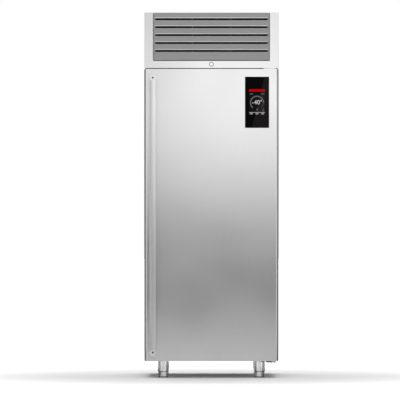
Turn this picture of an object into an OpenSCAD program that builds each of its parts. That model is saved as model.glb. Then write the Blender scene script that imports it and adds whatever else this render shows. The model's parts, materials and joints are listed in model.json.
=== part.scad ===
// Upright blast chiller: an insulated cabinet with one full-height door, a machine compartment
// above it behind a hinged front panel with louvres, and four levelling legs.
// X runs to the right, Y to the back and Z up. The origin is on the floor under the middle.

/* [Cabinet] */
// Height from the floor to the top of the hood
overall_h = 2120; // [2060:10:2200]
// Width of the cabinet behind the door
body_w = 770; // [750:5:800]
// Depth of the cabinet behind the door seal
carcass_d = 728; // [700:4:760]
// Insulated wall at each side
wall_side = 60; // [55:1:65]
// Insulated wall at the back
wall_back = 60; // [50:1:70]
// Insulated floor
wall_floor = 65; // [60:1:80]
// Insulated ceiling
wall_top = 70; // [60:1:80]
// Corner radius of the chamber
cove_r = 25; // [15:1:35]
// Steel sheet of the cabinet's panels
sheet_t = 1.5; // [1.2:0.1:2]
// Steel sheet of the chamber liner
liner_t = 1.5; // [1.2:0.1:2]

/* [Door] */
// Thickness of the door
door_t = 60; // [56:1:70]
// Gap between the door and the cabinet's front, filled by the seal
door_gap = 12; // [11:0.5:14]
// Steel sheet of the door's outer skin
skin_t = 1.2; // [1:0.1:1.6]
// How far the cabinet stands out past the door at each side
door_in = 4; // [2:0.5:6]
// Radius of the door's vertical front edges
door_edge_r = 6; // [3:0.5:8]
// Width of the seal
gasket_w = 24; // [18:1:26]
// Hinge axis in from the cabinet's right side
hinge_in = 27; // [24:1:30]
// Hinge axis behind the door's front
hinge_back = 21; // [19:0.5:24]
// Radius of the hinge pins
hinge_pin_r = 6; // [5:0.5:7]
// Outer radius of the bushes in the door
bush_r = 9; // [8.5:0.5:10]
// Length of the bushes in the door
bush_l = 18; // [15:1:24]
// Radius of the flange under the door's lower bush
bush_flange_r = 11; // [10.5:0.5:13]
// Thickness of that flange
bush_flange_t = 1.7; // [1.2:0.1:3]
// Thickness of the top hinge plate
hinge_plate_t = 4; // [3:0.5:6]
// Thickness of the bottom hinge plate
foot_plate_t = 6; // [4:0.5:8]

/* [Handle] */
// How far the handle stands out of the door
handle_proud = 48; // [42:1:60]
// Width of the grip bar
bar_w = 33; // [24:1:34]
// Depth of the grip bar
bar_d = 16; // [12:1:18]
// Radius of the round end posts
post_r = 18; // [16:0.5:20]
// Middle of the posts in from the door's left edge
post_in = 41; // [36:1:56]
// Height of the grip bar's crowned front
bar_crown = 3; // [1:0.5:4]
// Middle of each post in from the door's top or bottom
post_end = 52; // [40:1:80]
// Radius of the screw hole in each post
post_bore_r = 5.5; // [4.5:0.5:6.5]

/* [Display] */
// Width of the glass
glass_w = 139; // [120:1:150]
// Height of the glass
glass_h = 296; // [260:1:320]
// Thickness of the glass
glass_t = 3.2; // [3:0.1:5]
// How far the glass stands out of the door
glass_proud = 1; // [0.5:0.1:1.5]
// Glass in from the door's right edge
glass_in = 47; // [41:1:66]
// Top of the glass below the door's top
glass_drop = 46; // [40:1:80]
// Depth of the display module behind the glass
module_d = 34; // [25:1:38]

/* [Hood] */
// Height of the hood
hood_h = 322; // [300:2:340]
// How far the front panel stands out past the cabinet at each side
hood_over = 5; // [4.5:0.25:7]
// Sheet of the front frame
frame_t = 2; // [1.5:0.1:2.2]
// Radius of the front frame's upright edges
frame_edge_r = 6; // [4:0.5:7]
// Width of the frame's side strips
strip_w = 50.5; // [40:0.5:60]
// Height of the frame's bottom strip
strip_h = 41; // [38:0.5:50]
// Depth of the frame's side returns
return_d = 60; // [40:1:64]
// Number of louvre slots
slots = 5; // [3:1:5]
// Distance from one slot to the next
slot_pitch = 46; // [42:1:48]
// Height of a slot
slot_h = 10.5; // [8:0.5:14]
// Middle of the highest slot below the top
slot_drop = 39; // [34:1:44]
// Slot ends in from the grille's ends
slot_in = 9; // [7:0.5:14]
// Radius of the front panel's hinge pins
panel_pin_r = 4; // [3:0.5:5]
// Radius of the lock's barrel
lock_r = 9; // [8:0.5:10]
// Radius of the lock's head
lock_head_r = 13; // [12:0.5:14]

/* [Legs] */
// Height of the cabinet's underside
leg_h = 95; // [90:1:110]
// Height of a foot
foot_h = 36; // [30:1:40]
// Outer radius of a leg sleeve
leg_r = 32; // [28:0.5:34]
// Wall of a leg sleeve
leg_t = 2; // [1.5:0.1:3]
// Radius of a foot
foot_r = 28.5; // [24:0.5:29]
// Radius of a foot's stem
stem_r = 10; // [8:0.5:12]
// Leg middles in from the cabinet's sides
leg_side_in = 104.6; // [104:0.2:140]
// Leg middles in from the cabinet's front and back
leg_in = 60; // [45:1:90]

/* [Trays] */
// Distance from one tray level to the next
tray_pitch = 70; // [60:1:90]
// Depth of the racks' posts and the runners' carriers
rack_d = 16; // [12:1:18]
// Reach of a runner under the tray
runner_w = 14; // [10:1:18]
// Thickness of a runner
runner_t = 2; // [1.5:0.1:3]
// Free height below the lowest tray level
tray_first = 60; // [50:1:90]

/* [Cooling] */
// Radius of the evaporator fans
fan_r = 135; // [120:1:145]
// Radius of the condenser fan
cond_fan_r = 122; // [100:1:124]
// Radius of every motor shaft
shaft_r = 4; // [3:0.5:5]
// Thickness of the evaporator coil
evap_t = 94; // [80:1:96]
// Number of evaporator fins
evap_fins = 24; // [12:1:30]
// Tube rows in the evaporator
evap_rows = 16; // [12:2:20]
// Radius of the coil tubes
tube_r = 6; // [5:0.5:7]
// Number of condenser fins
cond_fins = 22; // [12:1:26]
// Tube rows in the condenser
cond_rows = 6; // [4:2:6]
// Thickness of the condenser
cond_t = 60; // [50:1:64]
// Width of the condenser's finned block
cond_w = 360; // [340:2:380]
// Radius of the compressor's shell
comp_r = 95; // [80:1:100]
// Height of the compressor's shell
comp_h = 225; // [200:1:235]
// Radius of the thin refrigerant pipes
pipe_r = 5; // [4:0.5:6]
// Radius of the suction pipe
suction_r = 8; // [6:0.5:9]
// Inner radius of the drain
drain_r = 13; // [11:0.5:15]
// Bore radius of the mains gland
gland_r = 7; // [5:0.5:8]

/* [Hidden] */
$fn = 96;

// Clearances
gap = 0.5;              // between pieces that pass each other
run = 0.05;             // radial clearance of a running fit
seal_gap = 0.5;         // between the seal and the cabinet
screw_r = 4;            // casing screw head
screw_h = 2.2;
screw_shank_r = 2;

// Depth layout, from the back wall to the handle
y_back = (handle_proud + door_t + door_gap + carcass_d) / 2;
y_panel = y_back - screw_h;
y_carcass = y_back - carcass_d;
y_door_back = y_carcass - door_gap;
y_door = y_door_back - door_t;
y_handle = y_door - handle_proud;

// Height layout
z_hood = overall_h - hood_h;
z_deck = z_hood - hinge_plate_t - gap;
z_door1 = z_deck - gap;
z_door0 = leg_h + bush_flange_t + gap - 0.2;

// Chamber
body_x = body_w / 2;
door_x = body_x - door_in;
in_x = body_x - wall_side;
in_y = y_panel - wall_back;
in_z0 = leg_h + wall_floor;
in_z1 = z_deck - wall_top;
in_h = in_z1 - in_z0;
in_zm = (in_z0 + in_z1) / 2;
frame_d = 14;           // depth of the door frame

// Door hinge axis
hinge_x = body_x - hinge_in;
hinge_y = y_door + hinge_back;
bracket_in = 54;        // top bracket from the axis towards the door's middle
foot_bracket_in = 41;   // bottom bracket, the same
bracket_out = 15;       // brackets past the axis
bracket_back = 4;       // top bracket behind the door's front
foot_bracket_back = 12; // bottom bracket, the same
foot_boss_r = 12;       // boss around the bottom pin
foot_boss_h = 2;        // that boss below its bracket
bracket_d = 74;         // top bracket behind the cabinet's front
foot_bracket_d = 104;   // bottom bracket, the same

// Display
glass_x1 = door_x - glass_in;
glass_x0 = glass_x1 - glass_w;
glass_z1 = z_door1 - glass_drop;
glass_z0 = glass_z1 - glass_h;
glass_corner = 3;

// Handle
post_x = -door_x + post_in;
post_zs = [z_door0 + post_end, z_door1 - post_end];
bar_lip = 3;            // grip bar behind the posts' faces
bar_edge_r = 5;
crown_r = (bar_w * bar_w / 4 + bar_crown * bar_crown) / (2 * bar_crown);
screw_depth = 30;       // screw heads behind the posts' faces
screw_head_r = post_bore_r - 0.5;
screw_head_h = 5;

// Hood
hood_x = body_x + hood_over;
open_x = hood_x - strip_w;
z_strip = z_hood + strip_h;
panel_pin_in = 10.5;    // panel hinge axis behind the front and below the top
panel_y = y_door + panel_pin_in;
panel_z = overall_h - panel_pin_in;
side_lead = 3;          // side panels ahead of the panel's hinge axis, clear of the turning frame
side_y = panel_y - side_lead;
grille_y = y_door + 6;
grille_t = 1.5;
grille_side = 2.5;      // between the grille and the frame's sides
grille_foot = 4.5;      // between the grille and the frame's bottom strip
grille_x = open_x - grille_side;
grille_z0 = z_strip + grille_foot;
grille_z1 = overall_h - 0.8;
top_clear = 2.5;        // between the hood's top and the grille's turning upper edge
top_y = panel_y + norm([panel_y - grille_y, grille_z1 - panel_z]) + top_clear;
slot_x = grille_x - slot_in;
fold_d = 16;            // depth of the frame's inner folds
lip_out = 4;            // how far the lip over each slot leans out of the grille
lip_h = 6;              // height of that lip
tab_in = 26;            // tabs under the grille, in from its ends
tab_w = 8;
filter_back = 16;       // filter behind the grille
filter_y = grille_y + grille_t + filter_back;
filter_t = 8;
filter_in = 6;
filter_drop = 12;
lock_z = z_hood + 22;
rail_y = y_door + 34;
hang_gap = 0.2;         // between the separate solids of one node
rail_h = 54;
rail_d = 40;
cam_l = 34;
cam_h = 10;
cam_t = 2.5;
cam_gap = 2;
cam_clear = 3;          // around the cam in the striker plate's slot
catch_t = 2;            // striker plate
catch_lap = 10;         // plate past the notch, and notch past the slot
catch_y = rail_y + frame_t + hang_gap;
hood_back_in = 30;      // hood back in from the cabinet's back, so that the gland stays inside
y_hood_back = y_panel - hood_back_in;
top_t = 1.5;
z_top = overall_h - screw_h - 0.3;   // upper face of the hood's top

// Legs
leg_xs = [-body_x + leg_side_in, body_x - leg_side_in];
leg_ys = [y_carcass + leg_in, y_panel - leg_in];
nut_h = 14;
foot_gap = 0.3;         // between a foot and its sleeve
stem_gap = 4;           // between a foot's stem and the cabinet

// Evaporator coil, beside the left wall
coil_gap = 6;           // between the coil and the liner
evap_x0 = -in_x + liner_t + coil_gap;
evap_x1 = evap_x0 + evap_t;
evap_end_in = 90;       // coil in from the chamber's front and back
evap_high_in = 60;      // coil in from the chamber's floor and ceiling
evap_y0 = y_carcass + evap_end_in;
evap_y1 = in_y - evap_end_in;
evap_z0 = in_z0 + evap_high_in;
evap_z1 = in_z1 - evap_high_in;
fin_t = 0.8;
fin_end_t = 2;
fin_in = 1;             // fins in from the edges of their end plates
evap_row_pitch = floor((evap_z1 - evap_z0) / evap_rows);
tube_out = 14;          // coil tubes past their fins
hole_gap = 0.1;         // between coil tubes and their fins
evap_cols = [evap_x0 + evap_t * 0.27, evap_x0 + evap_t * 0.73];

// Evaporator fans, on axes along X between the coil and their cover
motor_gap = 8;          // between the coil and the motors
motor_r = 36;
motor_l = 42;
motor_x1 = evap_x1 + motor_gap + motor_l;
fan_gap = 4;            // between a motor and its fan
fan_d = 34;
fan_hub_r = 40;
fan_x0 = motor_x1 + fan_gap;
fan_front = 12;         // between a fan and the cover's face
cover_x = fan_x0 + fan_d + fan_front;
cover_t = 1.5;
fan_zs = [for (i = [-1:1]) in_zm + i * in_h / 3.2];
fan_y = (y_carcass + in_y) / 2;
fan_hole_r = fan_r + 8;
arm_y = fan_hole_r + 16;     // motor brackets out from the fan's axis
arm_back = 14;          // brackets behind the motor's face
arm_t = 6;
arm_half = 12;          // half of a bracket's width
guard_d = 6;
cover_gap = 1;          // between the guards and the tray rack

// Trays: the racks take the width that the evaporator leaves
rack_gap = 2;
runner_drop = 12;
rack_xl = cover_x + guard_d + cover_gap;
post_face_l = rack_xl + rack_d;
rack_xr = in_x - liner_t - rack_gap;
post_face_r = rack_xr - rack_d;
levels = floor((in_h - 2 * tray_first) / tray_pitch);
post_end_in = 50;       // outer posts in from the chamber's front and back
post_half = 8;          // half of a post's width along Y
rack_ys = [y_carcass + post_end_in, (y_carcass + in_y) / 2, in_y - post_end_in];
rack_y0 = y_carcass + 30;
rack_y1 = in_y - 30;
rack_foot = 20;         // racks above the chamber floor and below its ceiling
stud_r = 6;
stud_in = 20;           // studs in from the posts' ends

// Condenser, fan and shroud
cond_x0 = -body_x + 50;
cond_x1 = cond_x0 + cond_w;
cond_y0 = rail_y + 44;
cond_y1 = cond_y0 + cond_t;
cond_z0 = z_hood + 16;
cond_z1 = overall_h - 30;
cond_row_pitch = floor((cond_z1 - cond_z0) / cond_rows);
cond_col = (cond_y0 + cond_y1) / 2;
shroud_d = 40;
shroud_t = 1.5;
shroud_y1 = cond_y1 + 1 + shroud_d;
cond_fan_x = (cond_x0 + cond_x1) / 2;
cond_fan_z = (cond_z0 + cond_z1) / 2;
cond_fan_d = 28;
cond_fan_y0 = shroud_y1 - cond_fan_d - fan_gap;
cond_motor_y0 = cond_fan_y0 + cond_fan_d + fan_gap;
cond_motor_l = 62;
cond_motor_r = 40;

// Compressor and its line components
bend_r = 12;
suction_bend_r = 18;
mount_h = 22;
comp_in = 90;           // compressor's shell in from the left and back of the hood
comp_x = -body_x + comp_in + comp_r;
comp_y = y_hood_back - comp_in - comp_r;
comp_z0 = z_deck + mount_h + 3;
comp_z1 = comp_z0 + comp_h;
comp_foot = 84;         // feet out from the compressor's axis
comp_foot_w = 32;
comp_foot_t = 4;
comp_dome = 28;         // height of the shell's domed ends
comp_box_w = 60;        // terminal box
comp_box_d = 26;
comp_box_h = 70;
mount_r = 14;
mount_bore_r = 4;
socket_d = 14;          // depth of a pipe's socket in the shell
rec_gap = 85;           // receiver's axis past the compressor
rec_back = 20;          // receiver's axis behind the compressor's
rec_x = comp_x + comp_r + rec_gap;
rec_y = comp_y + rec_back;
rec_r = 45;
rec_h = 190;
rec_z0 = z_deck + 20;
rec_ports = 20;         // ports aside from the receiver's axis
port_r = 8;
port_h = 14;
rec_foot = 8;           // foot past the receiver's side
drier_r = 22;
drier_l = 110;
drier_stub = 18;
drier_gap = 105;        // drier's axis past the receiver's
drier_z = z_deck + 70;
drier_x = rec_x + drier_gap;
valve_x = evap_cols[1];
valve_behind = 130;     // valve behind the condenser fan's shroud
valve_y = cond_y1 + shroud_d + valve_behind;
valve_up = 90;          // valve above the deck
valve_z = z_deck + valve_up;
valve_r = 13;
valve_h = 46;
valve_cap_r = 24;
valve_cap_h = 14;
valve_side = 26;
valve_side_r = 9;
valve_in_z = valve_z + 20;

// Electrical box
box_gap = 50;           // between the condenser and the box
box_side = 30;          // box in from the cabinet's side
box_low = 14;           // box above the hood's lower edge
box_drop = 40;          // box below the hood's top
box_d = 210;
box_t = 1.5;
box_x0 = cond_x1 + box_gap;
box_x1 = body_x - box_side;
box_y0 = cond_y0;
box_y1 = box_y0 + box_d;
box_z0 = z_hood + box_low;
box_z1 = overall_h - box_drop;

// Power board and the parts on it
board_in = 12;          // board in from the box's walls
board_back = 14;        // board's back in from the box's back
board_t = 1.6;
relays = 5;
relay_w = 22;
relay_h = 30;
relay_d = 23;
relay_pitch = 30;
relay_in = 8;
relay_drop = 10;
core_w = 60;            // transformer
core_h = 50;
core_d = 49;
strip_in = 80;          // terminal strip
strip_hh = 16;
strip_d = 17;
tank_w = 50;            // capacitor block
tank_h = 70;
tank_d = 59;

// Drain and gland
drain_rim = 9;          // plug's rim past the drain
drain_side = 2;         // between the plug and the right rack's runners
drain_x = post_face_r - runner_w - drain_r - drain_rim - drain_side;
drain_back = 190;       // drain behind the chamber's front
drain_y = y_carcass + drain_back;
drain_t = 3;
drain_body_r = drain_r + drain_t + 2;
drain_below = 38;
gland_side = 110;       // gland in from the cabinet's side
gland_up = 70;          // gland above the deck
gland_x = body_x - gland_side;
gland_z = z_deck + gland_up;
gland_out = 24;
gland_in = 12;          // gland in front of the hood's back sheet
gland_t = 5;
gland_nut = 9;

// Casing screws: on the back panel and on the hood's top
screws_side = 14;       // screws in from the cabinet's sides
screws_end = 40;        // end screws in from the ends of their panel
back_screw_gaps = 3;
back_screw_pitch = (z_deck - leg_h - 2 * screws_end) / back_screw_gaps;
back_screws = [for (sx = [-1, 1], i = [0:back_screw_gaps])
    [sx * (body_x - screws_side), leg_h + screws_end + i * back_screw_pitch]];
top_screws = [for (sx = [-1, 1], y = [y_door + return_d, y_hood_back - screws_end])
    [sx * (body_x - screws_side), y]];

// Colours
steel = "#c4c6c8";
bright = "#d9dbdd";
dark_steel = "#8d9092";
black = "#141414";
foam_colour = "#e6dcae";
copper = "#b87333";
fin_colour = "#aeb4b8";

// Helpers
module slab(x, y, z) {
    translate([x[0], y[0], z[0]]) cube([x[1] - x[0], y[1] - y[0], z[1] - z[0]]);
}

module rod_x(r, x, y, z) {
    translate([x[0], y, z]) rotate([0, 90, 0]) cylinder(r = r, h = x[1] - x[0]);
}

module rod_y(r, x, y, z) {
    translate([x, y[0], z]) rotate([-90, 0, 0]) cylinder(r = r, h = y[1] - y[0]);
}

module rod_z(r, x, y, z) {
    translate([x, y, z[0]]) cylinder(r = r, h = z[1] - z[0]);
}

module round_rect(x, z, r) {
    translate([x[0] + r, z[0]]) square([x[1] - x[0] - 2 * r, z[1] - z[0]]);
    translate([x[0], z[0] + r]) square([x[1] - x[0], z[1] - z[0] - 2 * r]);
    for (cx = [x[0] + r, x[1] - r], cz = [z[0] + r, z[1] - r])
        translate([cx, cz]) circle(r);
}

// A round-cornered block whose section lies in X and Z
module round_block(x, y, z, r) {
    translate([0, y[1], 0]) rotate([90, 0, 0]) linear_extrude(y[1] - y[0]) round_rect(x, z, r);
}

// A quarter bend about a corner, from direction u to direction v
module bend(corner, u, v, r, bend_r) {
    n = cross(u, v);
    c = corner + (v - u) * bend_r;
    multmatrix([
        [-v[0], u[0], n[0], c[0]],
        [-v[1], u[1], n[1], c[1]],
        [-v[2], u[2], n[2], c[2]]
    ])
        rotate_extrude(angle = 90) translate([bend_r, 0]) circle(r, $fn = 32);
}

function unit(v) = v / norm(v);

// A round pipe through a list of points, with a quarter bend at each corner
module pipe(points, r, bend_r) {
    last = len(points) - 2;
    for (i = [0:last]) {
        u = unit(points[i + 1] - points[i]);
        a = points[i] + (i == 0 ? 0 : bend_r) * u;
        b = points[i + 1] - (i == last ? 0 : bend_r) * u;
        translate(a)
            rotate([0, acos(u[2]), atan2(u[1], u[0])])
                cylinder(r = r, h = norm(b - a), $fn = 32);
        if (i < last)
            bend(points[i + 1], u, unit(points[i + 2] - points[i + 1]), r, bend_r);
    }
}

// One tube that runs to and fro along X, with its rows stacked along Z
module serpentine(length, rows, pitch, r) {
    for (i = [0:rows - 1])
        rod_x(r, [0, length], 0, i * pitch);
    for (i = [0:rows - 2])
        translate([i % 2 == 0 ? length : 0, 0, (i + 0.5) * pitch])
            rotate([90, 0, 0])
                rotate([0, 0, i % 2 == 0 ? -90 : 90])
                    rotate_extrude(angle = 180) translate([pitch / 2, 0]) circle(r, $fn = 32);
}

// An axial fan along Z: hub with a bore, and pitched blades
module fan(r, hub_r, depth, blades, hub_bore_r) {
    blade_t = 2;
    blade_w = r * 0.78;
    difference() {
        union() {
            cylinder(r = hub_r, h = depth);
            intersection() {
                for (i = [0:blades - 1])
                    rotate([0, 0, i * 360 / blades])
                        translate([hub_r - 3, 0, depth / 2])
                            rotate([24, 0, 0])
                                translate([0, -blade_w / 2, -blade_t / 2])
                                    cube([r, blade_w, blade_t]);
                translate([0, 0, 1]) cylinder(r = r, h = depth - 2);
            }
        }
        translate([0, 0, -1]) cylinder(r = hub_bore_r, h = depth + 2);
    }
}

// Cabinet shell

// Side panel, full height, with the front panel's hinge pin at the top; s is -1 or 1
module side_panel(s) {
    x0 = s > 0 ? body_x - sheet_t : -body_x;
    pin = s > 0 ? [body_x - 0.1, hood_x] : [-hood_x, -body_x + 0.1];
    color(steel) union() {
        slab([x0, x0 + sheet_t], [y_carcass, y_panel], [leg_h, z_hood]);
        slab([x0, x0 + sheet_t], [side_y, y_hood_back], [z_hood, z_top - top_t]);
        rod_x(panel_pin_r, pin, panel_y, panel_z);
        rod_x(panel_pin_r + 1.5, [x0, x0 + sheet_t], panel_y, panel_z);
    }
}

module side_panel_left() side_panel(-1);

module side_panel_right() side_panel(1);

module screw_holes_back() {
    for (p = back_screws)
        rod_y(screw_shank_r, p[0], [y_panel - sheet_t - 20, y_panel + 1], p[1]);
}

module screw_holes_top() {
    for (p = top_screws)
        rod_z(screw_shank_r, p[0], p[1], [z_top - 10, z_top + 1]);
}

module back_panel() {
    color(steel) difference() {
        slab([-body_x + sheet_t, body_x - sheet_t], [y_panel - sheet_t, y_panel], [leg_h, z_deck]);
        screw_holes_back();
    }
}

module bottom_panel() {
    color(dark_steel) difference() {
        slab([-body_x + sheet_t, body_x - sheet_t], [y_carcass, y_panel - sheet_t],
             [leg_h, leg_h + sheet_t]);
        rod_z(drain_body_r, drain_x, drain_y, [leg_h - 1, leg_h + sheet_t + 1]);
    }
}

module deck_panel() {
    color(steel) difference() {
        slab([-body_x + sheet_t, body_x - sheet_t], [y_carcass, y_panel - sheet_t],
             [z_deck - sheet_t, z_deck]);
        pipe_holes();
    }
}

module foam_insulation() {
    skin = body_x - sheet_t;
    color(foam_colour) difference() {
        slab([-skin, skin], [y_carcass + frame_d, y_panel - sheet_t],
             [leg_h + sheet_t, z_deck - sheet_t]);
        round_block([-in_x, in_x], [y_carcass - 1, in_y], [in_z0, in_z1], cove_r);
        rod_z(drain_body_r, drain_x, drain_y, [leg_h, in_z0 + 1]);
        screw_holes_back();
        pipe_holes();
    }
}

module chamber_liner() {
    color(bright) difference() {
        round_block([-in_x, in_x], [y_carcass + frame_d, in_y], [in_z0, in_z1], cove_r);
        round_block([-in_x + liner_t, in_x - liner_t], [y_carcass - 1, in_y - liner_t],
                    [in_z0 + liner_t, in_z1 - liner_t], cove_r - liner_t);
        rod_z(drain_body_r, drain_x, drain_y, [in_z0 - 1, in_z0 + liner_t + 1]);
        pipe_holes();
    }
}

module door_frame() {
    skin = body_x - sheet_t;
    color(dark_steel) difference() {
        slab([-skin, skin], [y_carcass, y_carcass + frame_d], [leg_h + sheet_t, z_deck - sheet_t]);
        round_block([-in_x + liner_t, in_x - liner_t], [y_carcass - 1, y_carcass + frame_d + 1],
                    [in_z0 + liner_t, in_z1 - liner_t], cove_r - liner_t);
    }
}

// Legs and feet

// The sleeve's lower end is a nut that holds the foot's stem
module leg_sleeve(x, y) {
    difference() {
        rod_z(leg_r, x, y, [foot_h, leg_h]);
        rod_z(leg_r - leg_t, x, y, [foot_h + nut_h, leg_h + 1]);
        rod_z(stem_r + run, x, y, [foot_h - 1, leg_h]);
    }
}

module leg_sleeves() {
    color(bright) for (x = leg_xs, y = leg_ys)
        leg_sleeve(x, y);
}

module foot(x, y) {
    color(bright) union() {
        rod_z(foot_r, x, y, [0, foot_h - foot_gap]);
        rod_z(stem_r, x, y, [foot_h - 1, leg_h - stem_gap]);
    }
}

module foot_front_left() foot(leg_xs[0], leg_ys[0]);

module foot_front_right() foot(leg_xs[1], leg_ys[0]);

module foot_back_left() foot(leg_xs[0], leg_ys[1]);

module foot_back_right() foot(leg_xs[1], leg_ys[1]);

// Door hinges

module top_hinge_bracket() {
    color(bright) union() {
        slab([hinge_x - bracket_in, hinge_x + bracket_out], [y_door + bracket_back, y_carcass + bracket_d],
             [z_deck, z_hood - gap]);
        rod_z(hinge_pin_r, hinge_x, hinge_y, [z_door1 - bush_l + 1, z_deck + 1]);
    }
}

module bottom_hinge_bracket() {
    color(dark_steel) union() {
        slab([hinge_x - foot_bracket_in, hinge_x + bracket_out],
             [y_door + foot_bracket_back, y_carcass + foot_bracket_d], [leg_h - foot_plate_t, leg_h]);
        rod_z(foot_boss_r, hinge_x, hinge_y, [leg_h - foot_plate_t - foot_boss_h, leg_h]);
        rod_z(hinge_pin_r, hinge_x, hinge_y, [leg_h - 1, z_door0 + bush_l - 1]);
    }
}

// Chamber fittings

// Tray rack: three posts held off the wall by studs, and one L-shaped runner for each level
// that hangs on the posts; s is 1 where the trays lie at +X
module tray_rack(x0, x1, s) {
    face = s > 0 ? x1 + hang_gap : x0 - hang_gap;
    stud = s > 0 ? [cover_x, x0 + 1] : [x1 - 1, in_x - liner_t];
    color(bright) {
        for (y = rack_ys) {
            slab([x0, x1], [y - post_half, y + post_half], [in_z0 + rack_foot, in_z1 - rack_foot]);
            for (z = [in_z0 + rack_foot + stud_in, in_z1 - rack_foot - stud_in])
                rod_x(stud_r, stud, y, z);
        }
        for (i = [0:levels - 1])
            runner(face, s, in_z0 + tray_first + (i + 0.5) * tray_pitch);
    }
}

module runner(face, s, z) {
    ledge = s > 0 ? [face, face + runner_w] : [face - runner_w, face];
    web = s > 0 ? [face, face + runner_t] : [face - runner_t, face];
    slab(ledge, [rack_y0, rack_y1], [z, z + runner_t]);
    slab(web, [rack_y0, rack_y1], [z - runner_drop, z + runner_t]);
}

module tray_rack_left() tray_rack(rack_xl, post_face_l, 1);

module tray_rack_right() tray_rack(post_face_r, rack_xr, -1);

module evaporator_cover() {
    y = [y_carcass + frame_d + 4, in_y - liner_t];
    z = [in_z0 + liner_t, in_z1 - liner_t];
    fold = 12;
    color(bright) difference() {
        slab([cover_x - fold, cover_x], y, z);
        slab([cover_x - fold - 1, cover_x - cover_t], [y[0] + cover_t, y[1] - cover_t],
             [z[0] + cover_t, z[1] - cover_t]);
        for (z = fan_zs)
            rod_x(fan_hole_r, [cover_x - fold - 1, cover_x + 1], fan_y, z);
    }
}

// Fan guard: rings joined by spokes behind them, and a round plate in the middle
module fan_guard(z) {
    wire_r = 1.6;
    plate_r = 24;
    rim_r = fan_hole_r + 4;
    translate([cover_x + guard_d, fan_y, z]) rotate([0, -90, 0]) {
        for (i = [1:4])
            translate([0, 0, wire_r]) rotate_extrude()
                translate([plate_r + (rim_r - plate_r) * i / 4, 0]) circle(wire_r, $fn = 16);
        cylinder(r = plate_r, h = 2 * wire_r);
        for (a = [0:60:300])
            rotate([0, 0, a]) translate([plate_r - 4, -1.5, 2 * wire_r - 0.8])
                cube([rim_r - plate_r + 4, 3, guard_d - 2 * wire_r + 0.8]);
    }
}

module fan_guards() {
    color(bright) for (z = fan_zs)
        fan_guard(z);
}

module evaporator_motor(z) {
    arm_x = [motor_x1 - arm_back, motor_x1 - arm_back + arm_t];
    rod_x(motor_r, [motor_x1 - motor_l, motor_x1], fan_y, z);
    rod_x(shaft_r, [motor_x1 - 1, fan_x0 + fan_d - fan_gap], fan_y, z);
    for (s = [-1, 1]) {
        tip = fan_y + s * arm_y;
        root = fan_y + s * (motor_r - 2);
        slab(arm_x, [min(tip, root), max(tip, root)], [z - arm_half, z + arm_half]);
        slab([arm_x[0], cover_x - cover_t], [tip - arm_t / 2, tip + arm_t / 2], [z - arm_half, z + arm_half]);
    }
}

module evaporator_motors() {
    color(black) for (z = fan_zs)
        evaporator_motor(z);
}

module evaporator_fan(i) {
    color(black) translate([fan_x0, fan_y, fan_zs[i]]) rotate([0, 90, 0])
        fan(fan_r, fan_hub_r, fan_d, 5, shaft_r + run);
}

module evaporator_fan_bottom() evaporator_fan(0);

module evaporator_fan_middle() evaporator_fan(1);

module evaporator_fan_top() evaporator_fan(2);

// Two columns of tubes, joined at their lower ends by a bend
module evaporator_tubes() {
    z0 = evap_z0 + evap_row_pitch / 2;
    join_r = (evap_cols[1] - evap_cols[0]) / 2;
    color(copper) {
        for (x = evap_cols)
            translate([x, evap_y1 + tube_out, z0]) rotate([0, 0, -90])
                serpentine(evap_y1 - evap_y0 + 2 * tube_out, evap_rows, evap_row_pitch, tube_r);
        translate([evap_cols[0] + join_r, evap_y1 + tube_out, z0])
            rotate_extrude(angle = 180) translate([join_r, 0]) circle(tube_r, $fn = 32);
    }
}

module evaporator_fins() {
    y0 = evap_y0 + fin_in;
    pitch = (evap_y1 - fin_in - fin_t - y0) / (evap_fins - 1);
    color(fin_colour) difference() {
        union() {
            for (i = [0:evap_fins - 1])
                slab([evap_x0 + fin_in, evap_x1 - fin_in], [y0 + i * pitch, y0 + i * pitch + fin_t],
                     [evap_z0 + fin_in, evap_z1 - fin_in]);
            for (z = [evap_z0, evap_z1 - fin_end_t])
                slab([evap_x0, evap_x1], [evap_y0, evap_y1], [z, z + fin_end_t]);
        }
        for (x = evap_cols, i = [0:evap_rows - 1])
            rod_y(tube_r + hole_gap, x, [evap_y0 - 1, evap_y1 + 1], evap_z0 + (i + 0.5) * evap_row_pitch);
    }
}

module drain_spigot() {
    color(bright) difference() {
        union() {
            rod_z(drain_body_r, drain_x, drain_y, [leg_h, in_z0 + liner_t]);
            rod_z(drain_r + drain_t, drain_x, drain_y, [leg_h - drain_below, leg_h + 1]);
        }
        rod_z(drain_r, drain_x, drain_y, [leg_h - drain_below - 1, in_z0 + liner_t + 1]);
    }
}

module drain_plug() {
    floor_z = in_z0 + liner_t;
    stem = 25;
    rim_t = 4;
    knob_r = 6;
    knob_h = 18;
    color(dark_steel) union() {
        rod_z(drain_r - run, drain_x, drain_y, [in_z0 - stem, floor_z + 1]);
        rod_z(drain_r + drain_rim, drain_x, drain_y, [floor_z + 0.3, floor_z + rim_t]);
        rod_z(knob_r, drain_x, drain_y, [floor_z + rim_t - 1, floor_z + knob_h]);
    }
}

// Machine compartment

module compressor() {
    color(black) difference() {
        translate([comp_x, comp_y, comp_z0]) compressor_shell();
        rod_z(pipe_r + hole_gap, comp_x - pipe_off, comp_y - pipe_off,
              [comp_z1 - pipe_clear - 1, comp_z1 + 1]);
        rod_y(suction_r + hole_gap, comp_x, [comp_y + comp_r - socket_d, comp_y + comp_r + 1], suction_z);
    }
}

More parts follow.
